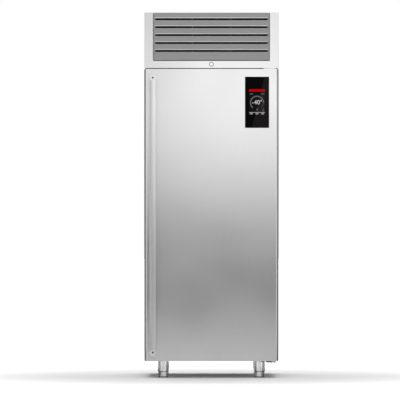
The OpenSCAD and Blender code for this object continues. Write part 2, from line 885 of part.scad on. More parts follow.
module compressor_shell() {
    dome = comp_dome;
    translate([0, 0, dome]) cylinder(r = comp_r, h = comp_h - 2 * dome);
    for (z = [dome, comp_h - dome])
        translate([0, 0, z]) intersection() {
            translate([0, 0, z == dome ? dome_r(dome) - dome : dome - dome_r(dome)]) sphere(dome_r(dome));
            translate([0, 0, z == dome ? -dome : -0.01]) cylinder(r = comp_r, h = dome + 0.01);
        }
    for (a = [45:90:315])
        rotate([0, 0, a]) translate([0, -comp_foot_w / 2, 0])
            cube([comp_foot * sqrt(2) + comp_foot_w / 2, comp_foot_w, comp_foot_t]);
    cylinder(r = comp_r * 0.79, h = comp_foot_t + 2);
    translate([-comp_box_w / 2, -comp_r - comp_box_d, comp_h * 0.4])
        cube([comp_box_w, comp_box_d + socket_d, comp_box_h]);
}

// Radius of the sphere whose cap is as wide as the compressor and dome high
function dome_r(dome) = (comp_r * comp_r + dome * dome) / (2 * dome);

module compressor_mounts() {
    color(black) for (sx = [-1, 1], sy = [-1, 1]) {
        x = comp_x + sx * comp_foot;
        y = comp_y + sy * comp_foot;
        difference() {
            rod_z(mount_r, x, y, [z_deck, comp_z0]);
            rod_z(mount_bore_r, x, y, [z_deck - 1, comp_z0 + 1]);
        }
    }
}

module condenser_fins() {
    x0 = cond_x0 + fin_in;
    pitch = (cond_x1 - fin_in - fin_t - x0) / (cond_fins - 1);
    color(fin_colour) difference() {
        union() {
            for (i = [0:cond_fins - 1])
                slab([x0 + i * pitch, x0 + i * pitch + fin_t], [cond_y0 + fin_in, cond_y1 - fin_in],
                     [cond_z0 + fin_in, cond_z1 - fin_in]);
            for (z = [cond_z0, cond_z1 - fin_end_t])
                slab([cond_x0, cond_x1], [cond_y0, cond_y1], [z, z + fin_end_t]);
        }
        for (i = [0:cond_rows - 1])
            rod_x(tube_r + hole_gap, [cond_x0 - 1, cond_x1 + 1],
                  cond_col, cond_z0 + (i + 0.5) * cond_row_pitch);
    }
}

module condenser_tubes() {
    color(copper) translate([cond_x0 - tube_out, cond_col, cond_z0 + cond_row_pitch / 2])
        serpentine(cond_w + 2 * tube_out, cond_rows, cond_row_pitch, tube_r);
}

module fan_shroud() {
    x = [cond_x0, cond_x1];
    y = [cond_y1 + 1, shroud_y1];
    z = [cond_z0, cond_z1];
    color(dark_steel) difference() {
        slab(x, y, z);
        slab([x[0] + shroud_t, x[1] - shroud_t], [y[0] - 1, y[1] - shroud_t],
             [z[0] + shroud_t, z[1] - shroud_t]);
        rod_y(cond_fan_r + 6, cond_fan_x, [y[0], y[1] + 1], cond_fan_z);
    }
}

module condenser_motor() {
    out = cond_fan_r + 14;
    arm = 16;
    arm_d = 4;
    back = 8;
    behind = shroud_y1 - cond_motor_y0;
    color(black) union() {
        rod_y(cond_motor_r, cond_fan_x, [cond_motor_y0, cond_motor_y0 + cond_motor_l], cond_fan_z);
        rod_y(shaft_r, cond_fan_x, [cond_fan_y0 + fan_gap, cond_motor_y0 + 1], cond_fan_z);
        for (a = [90, 210, 330])
            translate([cond_fan_x, cond_motor_y0, cond_fan_z]) rotate([0, a, 0]) {
                translate([cond_motor_r - 3, back, -arm / 2]) cube([out - cond_motor_r + 3, arm_d, arm]);
                translate([out - arm_d, behind, -arm / 2]) cube([arm_d, back + arm_d - behind, arm]);
            }
    }
}

module condenser_fan() {
    color(dark_steel) translate([cond_fan_x, cond_fan_y0, cond_fan_z]) rotate([-90, 0, 0])
        fan(cond_fan_r, fan_hub_r, cond_fan_d, 5, shaft_r + run);
}

module liquid_receiver() {
    top = rec_z0 + rec_h;
    color(dark_steel) union() {
        rod_z(rec_r, rec_x, rec_y, [rec_z0, top]);
        for (s = [-1, 1])
            rod_z(port_r, rec_x + s * rec_ports, rec_y, [top - 1, rec_port]);
        slab([rec_x - rec_r - rec_foot, rec_x + rec_r + rec_foot],
             [rec_y - rec_r + 25, rec_y + rec_r - 25], [z_deck, rec_z0 + 4]);
    }
}

module filter_drier() {
    color(copper) union() {
        rod_y(drier_r, drier_x, [rec_y - drier_l, rec_y], drier_z);
        rod_y(port_r, drier_x, [rec_y - drier_l - drier_stub, rec_y + drier_stub], drier_z);
    }
}

module expansion_valve() {
    color("#c9a64a") union() {
        rod_z(valve_r, valve_x, valve_y, [valve_z, valve_z + valve_h]);
        rod_z(valve_cap_r, valve_x, valve_y, [valve_z + valve_h - 2, valve_z + valve_h - 2 + valve_cap_h]);
        rod_x(valve_side_r, [valve_x, valve_x + valve_side], valve_y, valve_in_z);
    }
}

// Routes of the pipes, end to end
pipe_clear = 20;        // pipes past the pieces that they go round
pipe_drop = 16;         // pipes below the hood's top
pipe_low = 8;           // pipes above the deck
pipe_off = 40;          // pipes aside from the axis of the piece that they leave
suction_z = z_deck + 60;
side_run = cond_x0 - tube_out - pipe_clear;
cond_in = [cond_x0 - tube_out, cond_col, cond_z0 + (cond_rows - 0.5) * cond_row_pitch];
cond_out = [cond_x0 - tube_out, cond_col, cond_z0 + 0.5 * cond_row_pitch];
pipe_top = overall_h - pipe_drop;
low_z = z_deck + pipe_low;
low_y = shroud_y1 + pipe_clear + 4;
rec_port = rec_z0 + rec_h + port_h;
rec_over = rec_port + pipe_clear;
evap_end = evap_y1 + tube_out;
evap_top = evap_z0 + (evap_rows - 0.5) * evap_row_pitch;
riser_y = in_y - pipe_off;
inject_z = in_z1 - pipe_off;
discharge_route = [
    [comp_x - pipe_off, comp_y - pipe_off, comp_z1 - pipe_clear],
    [comp_x - pipe_off, comp_y - pipe_off, pipe_top],
    [side_run, comp_y - pipe_off, pipe_top],
    [side_run, cond_col, pipe_top],
    [side_run, cond_col, cond_in[2]],
    cond_in
];
liquid_route = [
    cond_out,
    [side_run, cond_col, cond_out[2]],
    [side_run, cond_col, low_z],
    [side_run, low_y, low_z],
    [rec_x - rec_ports, low_y, low_z],
    [rec_x - rec_ports, low_y, rec_over],
    [rec_x - rec_ports, rec_y, rec_over],
    [rec_x - rec_ports, rec_y, rec_port]
];
drier_route = [
    [rec_x + rec_ports, rec_y, rec_port],
    [rec_x + rec_ports, rec_y, rec_over],
    [drier_x, rec_y, rec_over],
    [drier_x, rec_y + pipe_off, rec_over],
    [drier_x, rec_y + pipe_off, drier_z],
    [drier_x, rec_y + drier_stub, drier_z]
];
valve_route = [
    [drier_x, rec_y - drier_l - drier_stub, drier_z],
    [drier_x, valve_y, drier_z],
    [valve_x + valve_side + pipe_off, valve_y, drier_z],
    [valve_x + valve_side + pipe_off, valve_y, valve_in_z],
    [valve_x + valve_side, valve_y, valve_in_z]
];
inject_route = [
    [valve_x, valve_y, valve_z],
    [valve_x, valve_y, inject_z],
    [valve_x, evap_end + pipe_clear, inject_z],
    [valve_x, evap_end + pipe_clear, evap_top],
    [valve_x, evap_end, evap_top]
];
suction_route = [
    [evap_cols[0], evap_end, evap_top],
    [evap_cols[0], riser_y, evap_top],
    [evap_cols[0], riser_y, suction_z],
    [comp_x, riser_y, suction_z],
    [comp_x, comp_y + comp_r - socket_d + 2, suction_z]
];

// The holes where the inject and suction pipes pass the deck, the foam and the liner
module pipe_holes() {
    z = [in_z1 - liner_t - 1, z_deck + 1];
    rod_z(pipe_r + hole_gap, valve_x, valve_y, z);
    rod_z(suction_r + hole_gap, evap_cols[0], riser_y, z);
}

module refrigerant_pipes() {
    color(copper) {
        pipe(discharge_route, pipe_r, bend_r);
        pipe(liquid_route, pipe_r, bend_r);
        pipe(drier_route, pipe_r, bend_r);
        pipe(valve_route, pipe_r, bend_r);
        pipe(inject_route, pipe_r, bend_r);
        pipe(suction_route, suction_r, suction_bend_r);
    }
}

module control_box() {
    color(steel) difference() {
        slab([box_x0, box_x1], [box_y0, box_y1], [box_z0, box_z1]);
        slab([box_x0 + box_t, box_x1 - box_t], [box_y0 - 1, box_y1 - box_t],
             [box_z0 + box_t, box_z1 - box_t]);
    }
}

module control_box_lid() {
    color(steel) slab([box_x0, box_x1], [box_y0 - box_t, box_y0], [box_z0, box_z1]);
}

module power_board() {
    x = [box_x0 + board_in, box_x1 - board_in];
    z = [box_z0 + board_in, box_z1 - board_in];
    y1 = box_y1 - board_back;
    y = y1 - board_t + 0.6;
    color("#2f6b3a") union() {
        slab(x, [y1 - board_t, y1], z);
        for (i = [0:relays - 1]) {
            x0 = x[0] + relay_in + i * relay_pitch;
            slab([x0, x0 + relay_w], [y - relay_d, y], [z[1] - relay_drop - relay_h, z[1] - relay_drop]);
        }
        slab([x[0] + relay_in, x[0] + relay_in + core_w], [y - core_d, y],
             [z[0] + board_in, z[0] + board_in + core_h]);
        slab([x[0] + strip_in, x[1] - relay_in], [y - strip_d, y],
             [z[0] + relay_drop, z[0] + relay_drop + strip_hh]);
        slab([x[0] + strip_in, x[0] + strip_in + tank_w], [y - tank_d, y],
             [z[0] + core_h, z[0] + core_h + tank_h]);
    }
}

module mains_gland() {
    y0 = y_hood_back - sheet_t;
    color(black) difference() {
        union() {
            rod_y(gland_r + gland_t, gland_x, [y0 - gland_in, y_hood_back + gland_out], gland_z);
            rod_y(gland_r + gland_nut, gland_x, [y_hood_back, y_hood_back + 7], gland_z);
            rod_y(gland_r + gland_nut, gland_x, [y0 - 6, y0], gland_z);
        }
        rod_y(gland_r, gland_x, [y0 - gland_in - 1, y_hood_back + gland_out + 1], gland_z);
    }
}

module hood_top() {
    color(steel) difference() {
        slab([-body_x, body_x], [top_y, y_hood_back], [z_top - top_t, z_top]);
        screw_holes_top();
    }
}

module hood_back() {
    vents = 6;
    vent_pitch = 34;
    vent_w = 180;
    vent_h = 12;
    vent_gap = 60;
    vent_in = 115;
    vent_up = 90;
    vent_z = z_deck + vent_up;
    color(steel) difference() {
        slab([-body_x + sheet_t, body_x - sheet_t], [y_hood_back - sheet_t, y_hood_back],
             [z_deck, z_top - top_t]);
        rod_y(gland_r + gland_t, gland_x, [y_hood_back - sheet_t - 1, y_hood_back + 1], gland_z);
        for (i = [0:vents - 1], j = [0:1]) {
            x = -body_x + vent_in + j * (vent_w + vent_gap);
            z = vent_z + i * vent_pitch;
            round_block([x, x + vent_w], [y_hood_back - sheet_t - 1, y_hood_back + 1], [z, z + vent_h],
                        vent_h / 2 - 0.1);
        }
    }
}

// Rail across the cabinet's front, with the lock's striker plate hung behind a notch in it
module hood_rail() {
    x = body_x - sheet_t;
    half = cam_l / 2 + cam_clear;
    slot = cam_h / 2 + cam_clear;
    notch = half + catch_lap;
    plate = notch + catch_lap;
    color(steel) {
        difference() {
            union() {
                slab([-x, x], [rail_y, rail_y + frame_t], [z_hood, z_hood + rail_h]);
                slab([-x, x], [rail_y, rail_y + rail_d], [z_hood, z_hood + frame_t]);
            }
            slab([-notch, notch], [rail_y - 1, rail_y + frame_t + 1],
                 [lock_z - slot - catch_lap / 2, z_hood + rail_h + 1]);
        }
        difference() {
            slab([-plate, plate], [catch_y, catch_y + catch_t],
                 [lock_z - slot - catch_lap, z_hood + rail_h - catch_lap / 2]);
            slab([-half, half], [catch_y - 1, catch_y + catch_t + 1], [lock_z - slot, lock_z + slot]);
        }
    }
}

module casing_screws() {
    color(dark_steel) {
        for (p = back_screws) {
            rod_y(screw_r, p[0], [y_panel, y_panel + screw_h], p[1]);
            rod_y(screw_shank_r, p[0], [y_panel - 12, y_panel + 1], p[1]);
        }
        for (p = top_screws) {
            rod_z(screw_r, p[0], p[1], [z_top, z_top + screw_h]);
            rod_z(screw_shank_r, p[0], p[1], [z_top - 8, z_top + 1]);
        }
    }
}

// Door

// The door's outline seen from above, with rounded front edges; t shrinks it
module door_plan(t, y1) {
    r = door_edge_r - t;
    x = door_x - t;
    translate([-x, y_door + t + r]) square([2 * x, y1 - y_door - t - r]);
    translate([-x + r, y_door + t]) square([2 * (x - r), r + 1]);
    for (s = [-1, 1])
        translate([s * (x - r), y_door + t + r]) circle(r);
}

module bush_holes(r) {
    rod_z(r, hinge_x, hinge_y, [z_door1 - bush_l, z_door1 + 1]);
    rod_z(r, hinge_x, hinge_y, [z_door0 - 1, z_door0 + bush_l]);
}

module door_outer_skin() {
    color(steel) difference() {
        translate([0, 0, z_door0]) linear_extrude(z_door1 - z_door0) door_plan(0, y_door_back);
        translate([0, 0, z_door0 + skin_t]) linear_extrude(z_door1 - z_door0 - 2 * skin_t)
            door_plan(skin_t, y_door_back + 1);
        round_block([glass_x0 - gap, glass_x1 + gap], [y_door - 1, y_door + skin_t + 1],
                    [glass_z0 - gap, glass_z1 + gap], glass_corner);
        bush_holes(bush_r);
    }
}

module door_inner_skin() {
    t = skin_t;
    color(bright) slab([-door_x + t, door_x - t], [y_door_back - t, y_door_back],
                       [z_door0 + t, z_door1 - t]);
}

module door_foam() {
    color(foam_colour) difference() {
        translate([0, 0, z_door0 + skin_t]) linear_extrude(z_door1 - z_door0 - 2 * skin_t)
            door_plan(skin_t, y_door_back - skin_t);
        slab([glass_x0 - gap, glass_x1 + gap], [y_door - 1, y_door + glass_t + module_d],
             [glass_z0 - gap, glass_z1 + gap]);
        bush_holes(bush_r);
    }
}

gasket_x = hinge_x - 6;
gasket_z0 = in_z0 - (gasket_x - in_x);
gasket_z1 = in_z1 + (gasket_x - in_x);

module door_gasket() {
    color(black) difference() {
        slab([-gasket_x, gasket_x], [y_door_back, y_carcass - seal_gap], [gasket_z0, gasket_z1]);
        slab([-gasket_x + gasket_w, gasket_x - gasket_w], [y_door_back - 1, y_carcass + 1],
             [gasket_z0 + gasket_w, gasket_z1 - gasket_w]);
    }
}

module handle_bar() {
    y = [y_handle + bar_lip, y_handle + bar_lip + bar_d];
    color(bright) difference() {
        translate([0, 0, post_zs[0]]) linear_extrude(post_zs[1] - post_zs[0]) intersection() {
            round_rect([post_x - bar_w / 2, post_x + bar_w / 2], y, bar_edge_r);
            translate([post_x, y[0] + crown_r]) circle(crown_r, $fn = 180);
        }
        for (z = post_zs)
            rod_y(post_r, post_x, [y_handle - 1, y_door], z);
    }
}

module handle_posts() {
    color(bright) for (z = post_zs)
        difference() {
            rod_y(post_r, post_x, [y_handle, y_door], z);
            rod_y(post_bore_r, post_x, [y_handle - 1, y_handle + screw_depth + screw_head_h], z);
        }
}

module handle_screws() {
    color(black) for (z = post_zs)
        rod_y(screw_head_r, post_x, [y_handle + screw_depth, y_handle + screw_depth + screw_head_h], z);
}

module display_glass() {
    color(black) round_block([glass_x0, glass_x1], [y_door - glass_proud, y_door - glass_proud + glass_t],
                             [glass_z0, glass_z1], glass_corner);
}

module display_module() {
    inset = 5;
    back_in = 20;
    back_d = 10;
    y0 = y_door - glass_proud + glass_t;
    y1 = y0 + module_d - 2;
    color("#2b2f33") union() {
        slab([glass_x0 + inset, glass_x1 - inset], [y0, y1 - back_d], [glass_z0 + inset, glass_z1 - inset]);
        slab([glass_x0 + back_in, glass_x1 - back_in], [y1 - back_d - 1, y1],
             [glass_z0 + 2 * back_in, glass_z1 - 2 * back_in]);
    }
}

module hinge_bushes() {
    color("#5a5d60") {
        difference() {
            rod_z(bush_r, hinge_x, hinge_y, [z_door1 - bush_l, z_door1]);
            rod_z(hinge_pin_r + run, hinge_x, hinge_y, [z_door1 - bush_l - 1, z_door1 + 1]);
        }
        difference() {
            union() {
                rod_z(bush_r, hinge_x, hinge_y, [z_door0 - 1, z_door0 + bush_l]);
                rod_z(bush_flange_r, hinge_x, hinge_y, [z_door0 - bush_flange_t, z_door0]);
            }
            rod_z(hinge_pin_r + run, hinge_x, hinge_y, [z_door0 - bush_flange_t - 1, z_door0 + bush_l + 1]);
        }
    }
}

// Front panel of the hood

// The frame's outline seen from above, with rounded front edges; t shrinks it
module hood_plan(t) {
    r = frame_edge_r - t;
    x = hood_x - t;
    translate([-x, y_door + t + r]) square([2 * x, return_d - t - r]);
    translate([-x + r, y_door + t]) square([2 * (x - r), r + 1]);
    for (s = [-1, 1])
        translate([s * (x - r), y_door + t + r]) circle(r);
}

module front_frame() {
    y = [y_door, y_door + fold_d];
    lip = body_x - sheet_t - 1;      // half width of the bottom fold, between the side panels
    color(bright) difference() {
        union() {
            translate([0, 0, z_hood]) linear_extrude(hood_h) difference() {
                hood_plan(0);
                hood_plan(frame_t);
                translate([-hood_x + frame_t, y_door + return_d - 1]) square([2 * (hood_x - frame_t), 2]);
            }
            for (s = [-1, 1]) {
                fold = s > 0 ? [open_x, open_x + frame_t] : [-open_x - frame_t, -open_x];
                slab(fold, y, [z_strip - frame_t, panel_z - fold_d]);
            }
            slab([-lip, lip], y, [z_hood, z_hood + frame_t]);
            slab([-open_x - frame_t, open_x + frame_t], y, [z_strip - frame_t, z_strip]);
        }
        slab([-open_x, open_x], [y_door - 1, y_door + fold_d + 1], [z_strip, overall_h + 1]);
        rod_x(panel_pin_r + run, [-hood_x - 1, hood_x + 1], panel_y, panel_z);
        rod_y(lock_r + run, 0, [y_door - 1, y_door + frame_t + 1], lock_z);
    }
}

// A grey sheet with slots; the sheet over each slot leans out as a lip, and two tabs stand on the frame
module louvre_grille() {
    y = [grille_y, grille_y + grille_t];
    color("#9a9c9e") union() {
        difference() {
            slab([-grille_x, grille_x], y, [grille_z0, grille_z1]);
            for (i = [0:slots - 1]) {
                z = overall_h - slot_drop - i * slot_pitch;
                round_block([-slot_x, slot_x], [y[0] - 1, y[1] + 1],
                            [z - slot_h / 2, z + slot_h / 2 + lip_h - 1], slot_h / 2 - 0.1);
            }
        }
        for (i = [0:slots - 1])
            louvre_lip(overall_h - slot_drop - i * slot_pitch + slot_h / 2);
        for (s = [-1, 1])
            slab([s * (grille_x - tab_in) - tab_w / 2, s * (grille_x - tab_in) + tab_w / 2], y,
                 [z_strip + gap, grille_z0 + 1]);
    }
}

// The lip over a slot whose upper edge is at z
module louvre_lip(z) {
    top = [grille_y, z + lip_h];
    foot = [grille_y - lip_out, z];
    translate([-slot_x, 0, 0]) rotate([90, 0, 90]) linear_extrude(2 * slot_x)
        polygon([top, foot, foot + [grille_t, 0], top + [grille_t, 0]]);
}

module air_filter() {
    color(black)
        slab([-grille_x + filter_in, grille_x - filter_in], [filter_y, filter_y + filter_t],
             [grille_z0 + 4, grille_z1 - filter_drop]);
}

module lock_barrel() {
    y1 = catch_y + catch_t + cam_gap;
    head = 3;
    barrel = 26;
    stem = 4;
    key = 5;
    color(bright) difference() {
        union() {
            rod_y(lock_head_r, 0, [y_door - head, y_door - 0.3], lock_z);
            rod_y(lock_r, 0, [y_door - 1, y_door + barrel], lock_z);
            rod_y(stem, 0, [y_door + barrel - 1, y1 + cam_t], lock_z);
            slab([-cam_l / 2, cam_l / 2], [y1, y1 + cam_t], [lock_z - cam_h / 2, lock_z + cam_h / 2]);
        }
        slab([-1, 1], [y_door - head - 1, y_door], [lock_z - key, lock_z + key]);
    }
}

side_panel_left();
side_panel_right();
back_panel();
bottom_panel();
deck_panel();
foam_insulation();
chamber_liner();
door_frame();
leg_sleeves();
top_hinge_bracket();
bottom_hinge_bracket();
tray_rack_left();
tray_rack_right();
evaporator_fins();
evaporator_tubes();
evaporator_cover();
fan_guards();
evaporator_motors();
drain_spigot();
compressor();
compressor_mounts();
condenser_fins();
condenser_tubes();
fan_shroud();
condenser_motor();
liquid_receiver();
filter_drier();
expansion_valve();
refrigerant_pipes();
control_box();
control_box_lid();
power_board();
mains_gland();
hood_top();
hood_back();
hood_rail();
casing_screws();
door_outer_skin();
door_inner_skin();
door_foam();
door_gasket();
handle_bar();
handle_posts();
handle_screws();
display_glass();
display_module();
hinge_bushes();
front_frame();
louvre_grille();
air_filter();
lock_barrel();
evaporator_fan_top();
evaporator_fan_middle();
evaporator_fan_bottom();
condenser_fan();
foot_front_left();
foot_front_right();
foot_back_left();
foot_back_right();
drain_plug();
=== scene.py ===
"""Looks of an upright blast chiller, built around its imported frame."""

import json
import math

import bmesh
import bpy
from mathutils import Matrix, Vector


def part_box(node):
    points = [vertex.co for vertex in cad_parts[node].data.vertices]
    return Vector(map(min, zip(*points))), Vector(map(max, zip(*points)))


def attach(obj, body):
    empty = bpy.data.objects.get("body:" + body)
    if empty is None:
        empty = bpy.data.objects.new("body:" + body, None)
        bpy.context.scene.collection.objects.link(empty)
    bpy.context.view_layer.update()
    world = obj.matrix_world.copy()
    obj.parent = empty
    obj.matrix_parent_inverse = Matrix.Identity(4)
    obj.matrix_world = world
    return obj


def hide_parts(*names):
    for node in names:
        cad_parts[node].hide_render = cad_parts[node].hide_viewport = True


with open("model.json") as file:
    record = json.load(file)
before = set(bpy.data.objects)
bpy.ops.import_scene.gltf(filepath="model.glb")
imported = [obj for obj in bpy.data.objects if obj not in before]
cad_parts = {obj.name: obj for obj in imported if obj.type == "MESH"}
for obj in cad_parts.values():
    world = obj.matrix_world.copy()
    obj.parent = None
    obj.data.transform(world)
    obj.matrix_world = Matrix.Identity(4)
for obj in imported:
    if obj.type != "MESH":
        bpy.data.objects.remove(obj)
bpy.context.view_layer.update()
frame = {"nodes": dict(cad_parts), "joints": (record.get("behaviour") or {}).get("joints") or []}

bl_info = {
    "name": "Blast Chiller",
    "version": (1, 0, 0),
    "blender": (4, 5, 0),
    "location": "View3D > Sidebar > Blast Chiller",
    "description": "Builds the finishes, fittings and studio of an upright blast chiller",
    "category": "Object",
}

MM = 0.001
PIXEL = 5.8 * MM  # what one pixel of the photograph spans on the door
PHOTO_MIDDLE = 211.45  # pixel column of the machine's middle
PHOTO_FLOOR = 378.0  # pixel row of the floor
IMAGE = 400  # pixels across and down
SENSOR = 36  # millimetres across, in the camera


def across(pixel):
    """X of a pixel column, in metres."""
    return (pixel - PHOTO_MIDDLE) * PIXEL


def above(pixel):
    """Z of a pixel row, in metres."""
    return (PHOTO_FLOOR - pixel) * PIXEL


def linear(colour):
    """An sRGB hex colour as linear red, green and blue."""
    values = [int(colour[i : i + 2], 16) / 255 for i in (1, 3, 5)]
    return tuple(v / 12.92 if v <= 0.04045 else ((v + 0.055) / 1.055) ** 2.4 for v in values)


def rgba(colour):
    """A hex colour, or linear red, green and blue, with full opacity."""
    return (*(linear(colour) if isinstance(colour, str) else colour), 1.0)


# Settings


class ChillerSizes(bpy.types.PropertyGroup):
    pad_height: bpy.props.FloatProperty(
        name="Foot pad",
        description="Height of the black pad under each foot",
        default=5 * MM,
        min=1 * MM,
        unit="LENGTH",
    )
    mark_height: bpy.props.FloatProperty(
        name="Display marks",
        description="How far the lit marks stand on the glass",
        default=0.2 * MM,
        unit="LENGTH",
    )
    fin_pitch: bpy.props.FloatProperty(
        name="Fin spacing",
        description="Distance from one coil fin to the next",
        default=4 * MM,
        min=2 * MM,
        unit="LENGTH",
    )
    skin_relief: bpy.props.FloatProperty(
        name="Pressed panel",
        description="How far the door's inner skin is pressed in",
        default=5 * MM,
        unit="LENGTH",
    )
    camera_distance: bpy.props.FloatProperty(
        name="Camera distance",
        description="From the camera to the middle of the machine",
        default=30.0,
        unit="LENGTH",
    )
    softbox_distance: bpy.props.FloatProperty(
        name="Softbox distance",
        description="From the middle of the machine to each softbox",
        default=2.0,
        unit="LENGTH",
    )


class ChillerColours(bpy.types.PropertyGroup):
    steel: bpy.props.FloatVectorProperty(
        name="Steel", description="Stainless steel sheet and bar", default=linear("#dedede"), subtype="COLOR"
    )
    grille: bpy.props.FloatVectorProperty(
        name="Grille", description="Grey louvre panel", default=linear("#9b9b9c"), subtype="COLOR"
    )
    glass: bpy.props.FloatVectorProperty(
        name="Display glass",
        description="Black glass of the control panel",
        default=linear("#040303"),
        subtype="COLOR",
    )
    # The tone of the reflection painted on the right of the control glass
    smoke: bpy.props.FloatVectorProperty(
        name="Painted reflection",
        description="Paler right part of the glass",
        default=linear("#1d191a"),
        subtype="COLOR",
    )
    alarm: bpy.props.FloatVectorProperty(
        name="Red marks", description="Lit red bar of the display", default=linear("#c80000"), subtype="COLOR"
    )
    floor: bpy.props.FloatVectorProperty(
        name="Floor", description="Studio floor", default=linear("#f2f2f2"), subtype="COLOR"
    )


def sizes():
    return bpy.context.scene.chiller_sizes


def colours():
    return bpy.context.scene.chiller_colours


# Materials


def add_node(tree, kind, inputs=None, stops=(), **settings):
    """Adds a node with its settings. An input is a value or the socket that feeds it, and stops fill a ramp
    with greys."""
    node = tree.nodes.new(kind)
    for name, value in settings.items():
        setattr(node, name, value)
    for name, value in (inputs or {}).items():
        if isinstance(value, bpy.types.NodeSocket):
            tree.links.new(value, node.inputs[name])
        else:
            node.inputs[name].default_value = value
    if stops:
        ramp = node.color_ramp.elements
        ramp.remove(ramp[1])
        ramp[0].position = 0
        for place, tone in stops:
            stop = ramp[0] if place == 0 else ramp.new(place)
            stop.color = (tone, tone, tone, 1)
    return node


def surface(name, **values):
    """A material with a Principled shader that has these constants. Returns it, its tree, shader and
    coordinates."""
    material = bpy.data.materials.new(name)
    material.use_nodes = True
    tree = material.node_tree
    tree.nodes.clear()
    shader = add_node(tree, "ShaderNodeBsdfPrincipled", values)
    add_node(tree, "ShaderNodeOutputMaterial", {"Surface": shader.outputs["BSDF"]})
    where = add_node(tree, "ShaderNodeTexCoord").outputs["Object"]
    return material, tree, shader, where


def grained(name, tones, gloss, grain, depth, stretch=(1, 1, 1), cloud=350, detail=2.0, **values):
    """A surface with a fine grain, in millimetres, that varies its tone and relief, and broad clouds that
    vary its roughness between two values. stretch below 1 draws the grain out along an axis."""
    material, tree, shader, where = surface(name, **values)
    scale = [s / (grain * MM) for s in stretch]
    drawn = add_node(tree, "ShaderNodeMapping", {"Vector": where, "Scale": scale}).outputs["Vector"]
    fine = add_node(tree, "ShaderNodeTexNoise", {"Vector": drawn, "Scale": 1.0, "Detail": detail})
    broad = add_node(tree, "ShaderNodeTexNoise", {"Vector": where, "Scale": 1 / (cloud * MM), "Detail": 1.0})
    ends = {"From Min": 0.3, "From Max": 0.7, "To Min": gloss[0], "To Max": gloss[1]}
    rough = add_node(tree, "ShaderNodeMapRange", {"Value": broad.outputs["Fac"], **ends})
    tone = add_node(
        tree,
        "ShaderNodeMix",
        {"Factor": fine.outputs["Fac"], "A": rgba(tones[0]), "B": rgba(tones[1])},
        data_type="RGBA",
    )
    relief = {"Height": fine.outputs["Fac"], "Strength": 0.4, "Distance": depth * MM}
    bump = add_node(tree, "ShaderNodeBump", relief)
    tree.links.new(tone.outputs["Result"], shader.inputs["Base Color"])
    tree.links.new(rough.outputs["Result"], shader.inputs["Roughness"])
    tree.links.new(bump.outputs["Normal"], shader.inputs["Normal"])
    return material


def zinc(name):
    """Galvanised sheet, hot dipped: dull grey zinc with spangles 12 mm across, each with its own tone and
    gloss."""
    material, tree, shader, where = surface(name, Metallic=1.0)
    cells = add_node(tree, "ShaderNodeTexVoronoi", {"Vector": where, "Scale": 1 / (12 * MM)})
    share = add_node(tree, "ShaderNodeSeparateColor", {"Color": cells.outputs["Color"]}).outputs["Red"]
    tone = add_node(
        tree, "ShaderNodeMix", {"Factor": share, "A": rgba("#9a9da0"), "B": rgba("#b4b7ba")}, data_type="RGBA"
    )
    rough = add_node(tree, "ShaderNodeMapRange", {"Value": share, "To Min": 0.38, "To Max": 0.55})
    tree.links.new(tone.outputs["Result"], shader.inputs["Base Color"])
    tree.links.new(rough.outputs["Result"], shader.inputs["Roughness"])
    return material


def foam(name):
    """Polyurethane foam, rigid and cut: pale yellow and matt, with cells 2 mm across."""
    material, tree, shader, where = surface(name, Roughness=0.9)
    cells = add_node(tree, "ShaderNodeTexVoronoi", {"Vector": where, "Scale": 1 / (2 * MM)})
    cells = cells.outputs["Distance"]
    tone = add_node(
        tree, "ShaderNodeMix", {"Factor": cells, "A": rgba("#cfc28c"), "B": rgba("#e9e0b6")}, data_type="RGBA"
    )
    bump = add_node(tree, "ShaderNodeBump", {"Height": cells, "Strength": 0.6, "Distance": 0.4 * MM})
    tree.links.new(tone.outputs["Result"], shader.inputs["Base Color"])
    tree.links.new(bump.outputs["Normal"], shader.inputs["Normal"])
    return material


def mesh_filter(name):
    """Knitted nylon filter mesh: black threads 3 mm apart over darker gaps, kept near black so that it also
    stands for the shade inside the louvre slots in front of it: partly painted shade.
    """
    material, tree, shader, where = surface(name, **{"Roughness": 0.9, "Specular IOR Level": 0.1})
    # One wave of this texture at scale 1 is 2 pi / 20 of a metre long
    scale = math.tau / 20 / (3 * MM)
    along, up = [
        add_node(tree, "ShaderNodeTexWave", {"Vector": where, "Scale": scale}, bands_direction=axis)
        for axis in ("X", "Z")
    ]
    both = {0: along.outputs["Fac"], 1: up.outputs["Fac"]}
    threads = add_node(tree, "ShaderNodeMath", both, operation="MAXIMUM").outputs[0]
    tones = {"Factor": threads, "A": rgba("#010101"), "B": rgba("#0b0b0b")}
    tone = add_node(tree, "ShaderNodeMix", tones, data_type="RGBA")
    bump = add_node(tree, "ShaderNodeBump", {"Height": threads, "Strength": 0.5, "Distance": 0.6 * MM})
    tree.links.new(tone.outputs["Result"], shader.inputs["Base Color"])
    tree.links.new(bump.outputs["Normal"], shader.inputs["Normal"])
    return material


